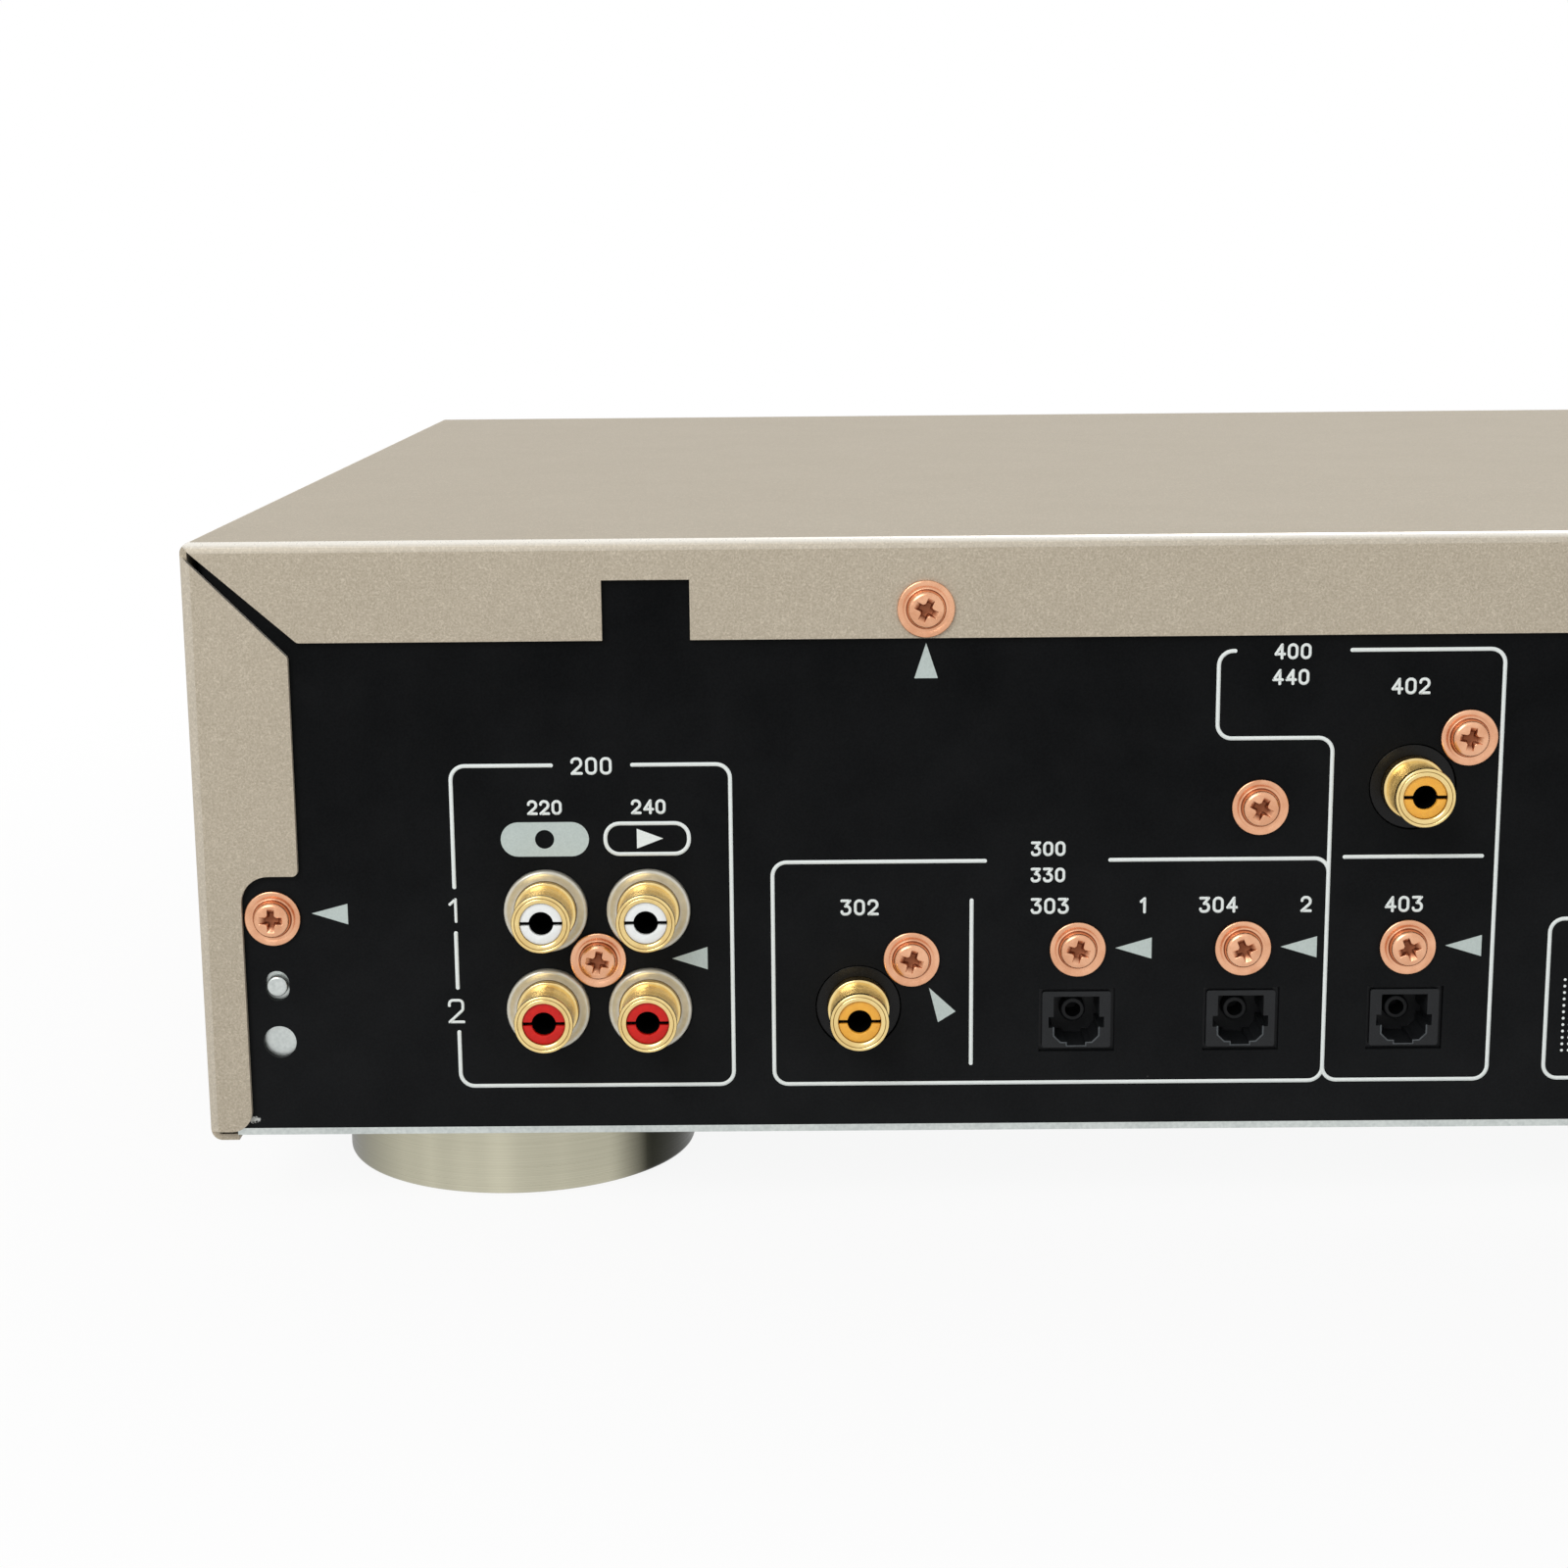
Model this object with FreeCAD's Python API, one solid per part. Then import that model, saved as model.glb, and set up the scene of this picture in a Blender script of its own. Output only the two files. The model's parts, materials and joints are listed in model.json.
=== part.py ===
"""A full-width minidisc deck, built piece by piece.

Frame: X runs across the deck (right as seen from the front), Y from front to back, Z up.
The origin is the centre of the bounding box at the height of the foot pads' undersides.
All sizes are millimetres.
"""
import FreeCAD
import Part
import math
import os

V = FreeCAD.Vector

# ------------------------------------------------------------------ driving dimensions
# Case
case_width = 435.0
cover_length = 268.0
case_height = 85.6            # tray underside to the top of the cover
cover_sheet = 0.9
cover_bend = 1.6              # outside radius of the cover's bends
tray_sheet = 1.0
tray_wall = 32.0
tray_bend = 1.8
panel_sheet = 1.0
panel_rim = 9.0
panel_bend = 1.4
nest_gap = 0.3                # clearance between sheets that lie in one another
past = 1.0                    # how far a cutter runs past the face it cuts
touch = 1e-3                  # places nearer than this are the same
tray_nip = 3.0                # cut off the tray's rear corners, beside the cover's lip
vent_width = 3.2
vent_length = 24.0
vent_pitch = 10.0
vent_count = 10
vent_rows = (30.0, 62.0, 94.0)
bead_radius = 3.2
bead_high = 1.2               # a stiffening bead above the tray's floor
bead_places = (-86.0, 86.0, 120.0)
bead_start = 40.0
bead_end = 150.0              # from the rear panel
side_screw_rear = 62.0
side_screw_front = 52.0
side_screw_rise = 17.0
cover_throat = 20.0           # the cover's straight, unbent stretch at its front

# Feet
foot_radius = 26.5
foot_height = 13.1            # tray underside to the floor
foot_wall = 3.0
foot_floor = 2.0
foot_deck = 3.0
foot_boss = 9.0
foot_well = 5.2
foot_bolt = 2.0
foot_inset_side = 41.3
foot_inset_rear = 36.0
foot_inset_front = 44.0
pad_radius = 23.0
pad_thick = 2.0
pad_proud = 1.0
pad_gap = 0.4
foot_edge = 0.6               # bevel at the foot's upper rim
foot_toe = 1.2                # bevel at its lower rim
pad_edge = 0.4
foot_screw_head = 4.0
foot_screw_high = 2.4
foot_screw_round = 0.8
foot_screw_tip = 1.5          # through the tray's floor

# Cover flanges on the rear panel
top_flange = 14.0
side_flange = 14.5
side_flange_low = 6.3         # below the step for the corner screw
flange_step_top = 47.2        # cover top to the step
flange_step_round = 4.0
flange_corner_round = 3.0
flange_notch_start = 58.2
flange_notch_width = 12.2
flange_notch_height = 8.4
mitre_gap = 2.0
mitre_splay = 1.4             # the top flange's end runs past the side flange
flange_round = 0.8
cover_lip = 4.0
lip_slot = 0.8

# Screws: flanged pan heads
screw_shank = 1.5
screw_flange = 4.0
screw_flange_thick = 0.75
screw_head = 2.65
screw_head_high = 1.7
screw_length = 7.0
screw_clearance = 0.15
screw_flange_round = 0.3
screw_head_round = 0.7
screw_crown = 0.25            # rise of the head's middle above its edge
screw_taper = 0.2
cover_hole_gap = 0.2          # more clearance in the cover than in the panel

# Rear panel layout: distances from the case side next to the line jacks, and up from the panel's foot
cover_screw_inset = 103.0
cover_screw_rise = 74.7
corner_screw_inset = 10.55
corner_screw_rise = 31.2
pin_inset = 10.7
pin_rise = 21.2
pin_radius = 1.5
pin_hole_wide = 3.4
pin_hole_high = 4.4
gauge_hole_rise = 12.9
gauge_hole_radius = 2.35
line_inset = 56.58
line_rise = 24.74
line_pitch_x = 14.55
line_pitch_z = 14.47
coax_in_inset = 93.5
coax_in_rise = 17.5
coax_out_inset = 171.2
coax_out_rise = 48.9
coax_screw_side = 7.55
coax_screw_up = 7.0
optical_insets = (124.6, 148.0, 171.3)
optical_rise = 15.3
optical_screw_up = 10.5
shelf_screw_inset = 149.9
shelf_screw_rise = 46.2
control_insets = (224.0, 244.0)
control_rise = 18.0
mains_inset = 404.0
mains_rise = 22.0

# Pin jacks
jack_reach = 8.0              # beyond the rear panel's face
jack_radius = 4.15
jack_root_radius = 4.4
jack_root_reach = 1.6
jack_bore = 2.95
jack_insert_back = 0.5
jack_pin_hole = 1.65
jack_slit = 0.36
jack_depth = 5.0              # behind the panel
collar_radius = 5.93
collar_reach = 0.9
coax_nose_radius = 6.0
hole_gap = 0.15
jack_block_depth = 14.0
jack_block_edge = 7.0         # from a jack's centre to the block's edge
jack_block_wall = 2.0
jack_block_front = 8.5        # the block's solid part behind the panel
jack_root_round = 0.2
jack_tip_round = 0.5
jack_mouth_round = 0.25
jack_slit_deep = 2.0
collar_round = 0.5
moulding_round = 1.0
coax_half_width = 7.2
coax_tab = 4.6                # from the screw to the tab's edges
coax_depth = 10.0

# Optical sockets
optical_width = 9.8
optical_height = 8.3
optical_cutout_gap = 0.5
optical_mouth_width = 6.5
optical_mouth_height = 6.8
optical_key_width = 7.9
optical_key_height = 1.6
optical_mouth_depth = 7.2
optical_ferrule = 1.8
optical_ferrule_long = 2.0
optical_bore = 1.1
optical_body_width = 13.0
optical_body_depth = 12.0
optical_face_back = 0.2
optical_key_drop = 0.4        # the side keys' middle below the mouth's
optical_nip = 1.0
optical_foot_key = 1.4
optical_foot_deep = 0.5
optical_nose_round = 0.4
optical_tab = 4.5             # half width of the screw tab
optical_tab_top = 3.6         # above the screw
optical_tab_thick = 6.5
optical_tab_round = 2.0
optical_roof = 0.6            # the body's top above the nose
optical_ferrule_round = 0.3
optical_bore_deep = 2.5

# Mini jacks and mains inlet
mini_bore = 1.8
mini_neck = 3.0
mini_nut = 3.9
mini_nut_thick = 1.6
mini_body = 9.0
mini_depth = 12.0
mini_below = 6.5              # the jack's case below its bore
mini_wall = 1.5
mini_nut_round = 0.4
mains_face_width = 25.0
mains_face_height = 16.0
mains_face_thick = 1.8
mains_mouth_width = 16.4
mains_mouth_height = 8.4
mains_mouth_depth = 13.0
mains_wall = 2.2
mains_pin_radius = 1.2
mains_pin_pitch = 8.6
mains_pin_long = 9.0
mains_pin_root = 5.0
mains_pin_tip = 0.8
mains_back = 2.5              # wall behind the mouth
mains_face_round = 2.0
mains_round = 1.0

# Front
fascia_thick = 8.0
fascia_gap = 0.2
fascia_drop = 1.2             # fascia top below the cover top
fascia_below = 1.5            # fascia foot below the tray
fascia_round = 2.6
fascia_end_round = 1.2
fascia_back_round = 0.5
frame_wall = 2.0
frame_depth = 14.0
frame_gap = 0.1
frame_round = 1.0
board_thick = 1.6
board_gap = 1.5               # front board to the frame's walls
board_step = 8.0              # its notch is wider and deeper than the slot by this
board_notch_round = 2.0
front_board_back = 10.0       # fascia back to the front board
switch_high = 5.0
button_gap = 0.25
button_proud = 2.2
button_flange = 1.0
button_lip = 1.0
button_round = 1.4
button_crown = 0.5
button_slack = 0.1            # plunger's end to the switch, beyond its travel
switch_width = 6.0
switch_stem = 1.7
switch_stem_high = 0.8
plunger_radius = 1.5
key_travel = 0.8
power_travel = 2.5
power_switch_high = 3.2
slot_width = 74.0
slot_height = 6.8
slot_rise = 66.0
slot_bevel = 1.2
slot_round = 1.0
bezel_side = 9.0              # slot's end to the bezel's end
bezel_rim = 7.0
bezel_round = 3.0
bezel_gap = 0.1
bezel_back = 0.3              # bezel's face behind the fascia's
door_thick = 1.2
door_lap = 0.5
door_back = 0.9               # fascia back to the door
door_journal = 1.0
door_journal_long = 2.5
door_edge = 0.3
door_barrel = 1.3
door_hang = 0.6               # hinge above the slot, beside the journal's radius
door_grip = 0.5
door_grip_inset = 8.0
door_gap = 1.0                # door's end to the frame's ear
ear_wall = 1.2
ear_deep = 9.0
ear_low = 6.0
ear_high = 3.0
gate_high = 6.0               # the frame's gate is higher than the slot by this
rib_high = 1.4
rib_deep = 3.0
rib_clear = 2.0
run_gap = 0.05                # radial clearance of a shaft in its bore
window_width = 164.0
window_height = 34.0
window_rise = 33.0
window_thick = 3.0
window_lip = 2.0
window_round = 3.0
window_gap = 0.1
window_back = 0.3             # the window's face below the fascia's
tube_width = 140.0
tube_height = 26.0
tube_thick = 6.0
tube_edge = 0.5
tube_room = 1.0               # clearance round the tube in the frame
jog_inset = 37.5              # from the case side
jog_rise = 56.0
jog_radius = 17.0
jog_reach = 14.0
jog_dimple = 7.28             # radius of the finger dimple at the dial's face
jog_ball = 11.0
jog_dimple_offset = 9.0
level_inset = 37.5
level_rise = 19.0
level_radius = 10.5
level_reach = 12.0
phones_inset = 49.5           # from the other side, as are those of the socket, switch and power
phones_rise = 19.0
phones_radius = 7.5
phones_reach = 11.0
shaft_radius = 3.0
shaft_hole = 4.5
knob_clear = 0.6              # knob's back to the fascia
control_body = 6.0            # half width of a rotary control's case
control_long = 6.5
jack_inset = 21.5
jack_rise = 19.0
socket_bore = 3.2
socket_nut = 6.2
socket_nut_proud = 1.6
socket_nut_round = 0.5
socket_neck = 1.0             # frame's inner face to the socket's case
socket_wall = 3.0
socket_depth = 28.0
socket_body = 12.0            # width of the socket's case
timer_inset = 27.5
timer_rise = 41.0
timer_throw = 4.0
timer_width = 5.0
timer_height = 3.2
timer_proud = 1.8             # beyond the fascia
timer_round = 0.4
timer_ridge = 0.6
timer_ridge_pitch = 1.4
timer_ridge_deep = 0.4
timer_shoe_gap = 0.2
timer_shoe = 1.2
timer_case_width = 16.0
timer_case_height = 7.0
timer_case_thick = 2.4
knob_rim = 1.6
knob_dish = 0.4
knob_dish_share = 0.55
knob_round = 1.2
knob_taper = 0.3
knob_back_round = 0.5
knob_skirt = 2.5              # the knob's inner body behind its back face
jog_waist = 3.0
pointer_waist = 2.2
pointer_start = 0.45          # where the pointer groove starts, as a share of the radius
pointer_width = 1.0
pointer_deep = 1.0
shaft_end = 1.0               # shaft's end before the front board
case_floor = 0.1

# Front buttons
power_inset = 27.5
power_rise = 64.0
power_width = 24.0
power_height = 10.0
eject_gap = 15.0              # slot's end to the eject button
eject_rise = 66.0
eject_width = 20.0
eject_height = 6.4
transport_inset = 79.5        # case side to the last column
transport_pitch_x = 20.0
transport_pitch_z = 15.0
transport_rise = 45.0
transport_width = 16.0
transport_height = 8.0
transport_names = (("rewind_button", "forward_button", "record_button"),
                   ("play_button", "pause_button", "stop_button"))

# Minidisc mechanism
disc_width = 68.0
disc_thick = 5.0
disc_gap = 0.3
disc_centre = 38.0            # from the mechanism's front edge
holder_start = 2.0
holder_round = 1.0
holder_inner_round = 0.3
holder_floor_window = (46.0, 50.0, 3.0)     # width, length, centre behind the disc's centre
holder_roof_window = (24.0, 46.0, 9.0)
holder_window_round = 4.0
pin_reach = 0.4               # a lift pin's end beyond the slider's wall
pin_gap = 0.1
holder_sheet = 0.8
holder_length = 66.0
mech_gap = 3.0                # front frame to the mechanism
mech_width = 106.0
mech_length = 122.0
mech_sheet = 1.2
mech_rise = 44.0              # panel foot to the mechanism plate's top
load_travel = 16.0
lift_travel = 4.5
lift_pin = 1.0
slider_thick = 2.0
slider_start = 12.0
slider_length = 88.0
slider_inner = 42.0
slider_strip = 8.0
slider_wall = 1.6
slider_float = 0.2
slider_wall_high = 4.5        # above the lift pins
slider_tail = 10.0            # the walls stop this far before the slider's end
slider_tail_high = 6.0
slider_tie = 8.0
slider_round = 3.0
guide_offset = 3.4            # slider's wall to its guide posts
guide_gap = 0.1
guide_room = 0.3              # of the guide slot beyond the travel, each end
rack_start = -16.0            # rack's ends from the gear's centre
rack_end = 3.0
ear_inner = 38.5
pin_stations = (22.0, 68.0)
ear_half = 5.0
ear_top = 4.0                 # above the lift pins
ear_round = 2.0
post_radius = 1.5
post_stations = (32.0, 76.0)
gear_module = 0.8
gear_teeth = 16
gear_thick = 3.0
gear_hub = 1.4                # hub's wall round the axle
gear_hub_high = 1.2
gear_float = 0.1
pressure_angle = 20.0
dedendum = 1.25               # in modules
gear_station = 45.0
sled_module = 0.6
sled_teeth = 16
sled_gear_station = 61.0
backlash = 0.12
axle_radius = 1.0
sled_start = 52.5
sled_round = 2.0
sled_gear_low = 2.5
lens_seat = 1.2
lens_round = 0.6
sled_width = 34.0
sled_length = 17.0
sled_low = 3.0
sled_high = 10.0
lens_radius = 2.5
lens_high = 1.3
rack_bar = 2.0
rack_half = 14.0
rack_high = 2.0
rod_radius = 1.5
rod_x = 12.0
rod_rise = 6.2
rod_start = 40.0
rod_end = 84.0
rod_block = 3.0               # length of the blocks that hold the rods, and half their width
axle_high = 5.0
sled_axle_high = 8.0
post_cap = 1.0
turntable_radius = 5.6
turntable_low = 11.5
turntable_top = 16.8
turntable_thick = 2.6
turntable_round = 0.4
turntable_edge = 0.3
hub_low = 3.2
hub_high = 2.4
hub_round = 0.5
spindle_deep = 2.0            # below the mechanism plate
spindle_gap = 1.0
spindle_end = 0.1
arm_pivot_station = 116.5
arm_pivot_rise = 28.8
arm_pivot_radius = 1.0
arm_boss = 2.2
arm_width = 16.0
arm_sheet = 1.0
arm_tip_station = 56.0
head_pad = 1.2
head_pad_width = 5.0
head_pad_length = 6.0
arm_neck_start = 84.0
arm_neck_end = 74.0
arm_tip_half = 4.0
arm_round = 3.0
arm_tip_round = 2.0
arm_rail = 1.0
arm_rail_high = 2.4
arm_rail_station = 88.0
arm_gap = 1.0
pivot_post_half = 24.0
pivot_ear_low = 12.0
pivot_ear_room = 3.0          # material round the pivot
pivot_ear_back = 0.5
pivot_pin_proud = 0.8
motor_radius = 9.0
motor_high = 9.0
motor_round = 1.0
sled_motor_back = 12.0
damper_radius = 3.2
damper_high = 4.0
damper_x = 49.0
damper_inset = 14.0
damper_bore = 1.2
damper_waist = 0.8
damper_round = 0.6
bracket_x = 60.0
bracket_foot = 10.0
bracket_sheet = 1.2
bracket_inset = 4.0
bracket_bend = 1.8
bracket_window_inset = 20.0
bracket_window_round = 4.0
bracket_lap = 3.4             # the rail's flange beyond the dampers' centres

# Boards inside
board_rise = 5.4              # panel foot to a board's underside
main_board_depth = 122.0
main_board_left = -58.0
board_margin = 10.0
board_setback = 1.6           # rear panel to a board's edge
post_inset = 8.0              # board's edge to its posts
post_inset_rear = 22.0
power_board_width = 86.0
power_board_depth = 96.0
standoff_radius = 3.0
transformer_width = 66.0
transformer_depth = 54.0
transformer_height = 52.0
transformer_rear = 120.0      # rear panel to the transformer
shelf_start = 140.0
shelf_end = 190.0
shelf_rise = 36.0
shelf_depth = 48.0
bracket_leg = 12.0
corner_sheet = 1.2
corner_leg_top = 40.0
corner_wing_top = 30.0
corner_wing_deep = 14.0
corner_gap = 0.1
corner_pin_proud = 0.4
shelf_bend = 1.6
shelf_sheet = 1.0
shelf_tab = 5.0               # above its screw
shelf_window = (14.0, 8.5)    # clear of the coaxial jack's block on each side
capacitor_round = 0.6
small_can_radius = 4.5
small_can_high = 13.0
small_can_pitch = 22.0
small_can_count = 5
chip_high = 2.2
chips = ((60.0, 62.0, 20.0), (130.0, 52.0, 24.0), (190.0, 66.0, 16.0))
plug_row_long = 30.0
plug_row_wide = 5.0
plug_row_high = 8.0
large_can_radius = 11.0
large_can_high = 34.0
large_can_pitch = 30.0
large_can_inset = 18.0
sink_long = 38.0
sink_high = 30.0
sink_base = 3.0
sink_fin = 2.0
sink_fin_deep = 12.0
sink_fin_pitch = 6.0
sink_inset = 8.0
core_inset = 14.0             # from the coil's ends to the core
coil_inset = 13.0
coil_end = 4.0
coil_round = 6.0
coil_rise = 9.0
strap_sheet = 1.2
strap_ear = 8.0
strap_inset = 18.0
can_wide = 12.0
can_high = 9.0
can_inset = 6.0
can_back = 22.0
ribbon_thick = 0.3
ribbon_bend = 5.0
ribbon_start = 84.0
ribbon_width = 20.0
ribbon_low = 4.0              # above the main board
ribbon_high = 26.0
ribbon_lap = 1.0              # over the main board's edge

# ------------------------------------------------------------------ derived places
half = case_width / 2
jog_x = half - jog_inset
level_x = half - level_inset
phones_x = phones_inset - half
jack_x = jack_inset - half
timer_x = timer_inset - half
power_x = power_inset - half
eject_x = slot_width / 2 + eject_gap + eject_width / 2
transport_x = half - transport_inset - 2 * transport_pitch_x
z_tray = foot_height
z_foot = z_tray + tray_sheet                  # the rear panel's foot
z_top = z_tray + case_height
panel_to_cover_front = cover_length - cover_sheet
knob_reach = max(jog_reach, level_reach, phones_reach)
deck_depth = jack_reach + panel_to_cover_front + fascia_gap + fascia_thick + knob_reach
y_rear = deck_depth / 2 - jack_reach          # rear panel's outer face
y_inner = y_rear - panel_sheet
y_cover_front = y_rear - panel_to_cover_front
y_fascia = y_cover_front - fascia_gap         # fascia's back face
y_front = y_fascia - fascia_thick
y_frame_face = y_fascia + frame_wall
y_frame_back = y_fascia + frame_depth
y_board = y_fascia + front_board_back
y_mech = y_frame_back + mech_gap
z_plate = z_foot + mech_rise
z_slot = z_foot + slot_rise
tray_half = half - cover_sheet - nest_gap
panel_half = tray_half - tray_sheet - nest_gap / 2
z_board_top = z_foot + board_rise + board_thick
screw_hole = screw_shank + screw_clearance
socket_hole = socket_nut + button_gap


def from_side(inset):
    """X of a place measured in from the case side next to the line jacks."""
    return half - inset


def up(rise):
    """Z of a place measured up from the rear panel's foot."""
    return z_foot + rise


# ------------------------------------------------------------------ shape helpers
def place(u, v, w, axis):
    """A point from two coordinates across an axis and one along it."""
    if axis == "x":
        return V(w, u, v)
    if axis == "y":
        return V(u, w, v)
    return V(u, v, w)


def rounded_corner(before, corner, after, radius):
    """Start, middle and end of the arc that rounds one corner of an outline."""
    here = V(corner[0], corner[1], 0)
    back = (V(before[0], before[1], 0) - here).normalize()
    ahead = (V(after[0], after[1], 0) - here).normalize()
    half_angle = back.getAngle(ahead) / 2
    reach = radius / math.tan(half_angle)
    inward = (back + ahead).normalize()
    middle = here + inward * (radius / math.sin(half_angle) - radius)
    return here + back * reach, middle, here + ahead * reach


def outline(points, axis, w):
    """Closed wire through (u, v) corners; a third value is the corner's radius."""
    count = len(points)
    stretches = []
    for i, point in enumerate(points):
        if len(point) > 2 and point[2] > 0:
            corner = rounded_corner(points[i - 1], point, points[(i + 1) % count], point[2])
        else:
            corner = (V(point[0], point[1], 0),) * 3
        stretches.append([place(p.x, p.y, w, axis) for p in corner])
    edges = []
    for i, (start, middle, end) in enumerate(stretches):
        if start.distanceToPoint(end) > 1e-6:
            edges.append(Part.Arc(start, middle, end).toShape())
        following = stretches[(i + 1) % count][0]
        if end.distanceToPoint(following) > 1e-6:
            edges.append(Part.LineSegment(end, following).toShape())
    return Part.Wire(edges)


def prism(points, axis, w0, w1):
    """An outline pushed along an axis from w0 to w1."""
    return Part.Face(outline(points, axis, w0)).extrude(place(0, 0, w1 - w0, axis))


def corners(u0, u1, v0, v1, radius=0.0):
    """Four corners of a rectangle."""
    return [(u0, v0, radius), (u1, v0, radius), (u1, v1, radius), (u0, v1, radius)]


def plate(u, v, width, height, axis, w0, w1, radius=0.0):
    """A rectangular plate centred on (u, v), with rounded corners."""
    sides = corners(u - width / 2, u + width / 2, v - height / 2, v + height / 2, radius)
    return prism(sides, axis, w0, w1)


def box(x0, x1, y0, y1, z0, z1):
    """A block between two corners."""
    return Part.makeBox(x1 - x0, y1 - y0, z1 - z0, V(x0, y0, z0))


def rod(u, v, radius, axis, w0, w1):
    """A cylinder along an axis."""
    return Part.makeCylinder(radius, w1 - w0, place(u, v, w0, axis), place(0, 0, 1, axis))


def turned(profile, u, v, axis):
    """A profile of (radius, w) corners turned about an axis along Y or Z."""
    sides = [(u + p[0], p[1]) + tuple(p[2:]) for p in profile]
    flat = "z" if axis == "y" else "y"
    face = Part.Face(outline(sides, flat, v))
    return face.revolve(place(u, v, 0, axis), place(0, 0, 1, axis), 360)


def bevelled_cut(u, v, width, height, w0, w1, bevel, radius):
    """A hole through a plate along Y whose front edge opens out by a bevel."""
    wide = corners(u - width / 2 - bevel, u + width / 2 + bevel,
                   v - height / 2 - bevel, v + height / 2 + bevel, radius + bevel)
    narrow = corners(u - width / 2, u + width / 2, v - height / 2, v + height / 2, radius)
    mouth = Part.makeLoft([outline(wide, "y", w0), outline(narrow, "y", w0 + bevel)], True, True)
    return mouth.fuse(prism(narrow, "y", w0 + bevel, w1))


def mirrored(shape):
    """The same shape on the other side of the deck's middle."""
    return shape.mirror(V(0, 0, 0), V(1, 0, 0))


def one(shapes):
    """Several touching shapes made one clean solid."""
    return shapes[0].fuse(shapes[1:]).removeSplitter()


def group(shapes):
    """Separate solids kept in one node."""
    return Part.makeCompound(shapes)


def save(name, shape):
    """Write a node, after a check that it is a sound solid or group of solids."""
    if not shape.isValid() or not shape.Solids:
        raise ValueError(name + " is not a sound solid")
    shape.exportStep(os.path.join("parts", name + ".step"))
    print(name, len(shape.Solids), round(shape.Volume, 1))


# ------------------------------------------------------------------ case
def tray_profile():
    """Section of the tray: floor and two walls, bent up."""
    outer = tray_half
    inner = tray_half - tray_sheet
    floor = z_tray + tray_sheet
    rim = z_tray + tray_wall
    bend_in = tray_bend - tray_sheet
    return [(-outer, z_tray, tray_bend), (outer, z_tray, tray_bend), (outer, rim), (inner, rim),
            (inner, floor, bend_in), (-inner, floor, bend_in), (-inner, rim), (-outer, rim)]


def foot_places():
    """Centres of the four feet."""
    y_back = y_rear - foot_inset_rear
    y_ahead = y_fascia + foot_inset_front
    x = half - foot_inset_side
    return [(x, y_back), (-x, y_back), (x, y_ahead), (-x, y_ahead)]


def main_board_sides():
    """Plan edges of the main board: left, right, front, rear."""
    return (main_board_left, panel_half - board_margin,
            y_inner - board_setback - main_board_depth, y_inner - board_setback)


def power_board_sides():
    """Plan edges of the power board."""
    left = -(panel_half - board_margin)
    y_edge = y_inner - board_setback
    return left, left + power_board_width, y_edge - power_board_depth, y_edge


def standoff_places():
    """Centres of the posts that the two boards sit on."""
    places = []
    for left, right, ahead, back in (main_board_sides(), power_board_sides()):
        for x in (left + post_inset, right - post_inset):
            for y in (ahead + post_inset, back - post_inset_rear):
                places.append((x, y))
    return places


def side_screw_places():
    """Stations along Y of the two cover screws on each side."""
    return (y_rear - side_screw_rear, y_fascia + side_screw_front)


def chassis_tray():
    """Zinc-plated floor pan with vents, stiffening beads and board posts."""
    y_wall = y_frame_back + nest_gap
    tray = prism(tray_profile(), "y", y_fascia, y_rear)
    # only the floor runs on under the front frame
    cutters = [box(-half, half, y_fascia - past, y_wall, z_foot, z_top)]
    # the rear corners are nipped off beside the cover's folded lip
    x_nip = half - cover_lip
    nip = prism([(half, y_rear + past), (half, y_rear - 2 * tray_nip), (x_nip, y_rear - tray_nip),
                 (x_nip, y_rear + past)], "z", z_tray - past, z_top)
    cutters += [nip, mirrored(nip)]
    for i in range(vent_count):
        x = (i - (vent_count - 1) / 2) * vent_pitch
        for row in vent_rows:
            cutters.append(plate(x, y_mech + row, vent_width, vent_length, "z", z_tray - past,
                                 z_foot + past, vent_width / 2))
    for x, y in foot_places():
        cutters.append(rod(x, y, foot_bolt, "z", z_tray - past, z_foot + past))
    for y in side_screw_places():
        cutters.append(rod(y, up(side_screw_rise), screw_shank, "x", -half, half))
    beads = []
    for x in bead_places:
        bead = rod(x, z_foot + bead_high - bead_radius, bead_radius, "y",
                   y_wall + bead_start, y_rear - bead_end)
        beads.append(bead.common(box(-half, half, y_fascia, y_rear, z_tray + tray_sheet / 2, z_top)))
    posts = [rod(x, y, standoff_radius, "z", z_foot, up(board_rise)) for x, y in standoff_places()]
    return one([tray.cut(cutters)] + beads + posts)


def panel_holes():
    """Everything that passes through the rear panel."""
    y0, y1 = y_inner - past, y_rear + past
    holes = []
    for x, z in line_jack_places():
        holes.append(rod(x, z, collar_radius + hole_gap, "y", y0, y1))
    for x, z in coax_places():
        holes.append(rod(x, z, coax_nose_radius + hole_gap, "y", y0, y1))
    for inset in optical_insets:
        holes.append(plate(from_side(inset), up(optical_rise), optical_width + 2 * optical_cutout_gap,
                           optical_height + 2 * optical_cutout_gap, "y", y0, y1))
    for inset in control_insets:
        holes.append(rod(from_side(inset), up(control_rise), mini_neck, "y", y0, y1))
    holes.append(plate(from_side(mains_inset), up(mains_rise), mains_mouth_width + 2 * mains_wall,
                       mains_mouth_height + 2 * mains_wall, "y", y0, y1, mains_round))
    for x, z in jack_screw_places() + corner_screw_places() + top_screw_places():
        holes.append(rod(x, z, screw_hole, "y", y0, y1))
    for side in (1, -1):
        x = side * from_side(pin_inset)
        holes.append(plate(x, up(pin_rise), pin_hole_wide, pin_hole_high, "y", y0, y1,
                           pin_hole_wide / 2 - touch))
        holes.append(rod(x, up(gauge_hole_rise), gauge_hole_radius, "y", y0, y1))
    return holes


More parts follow.
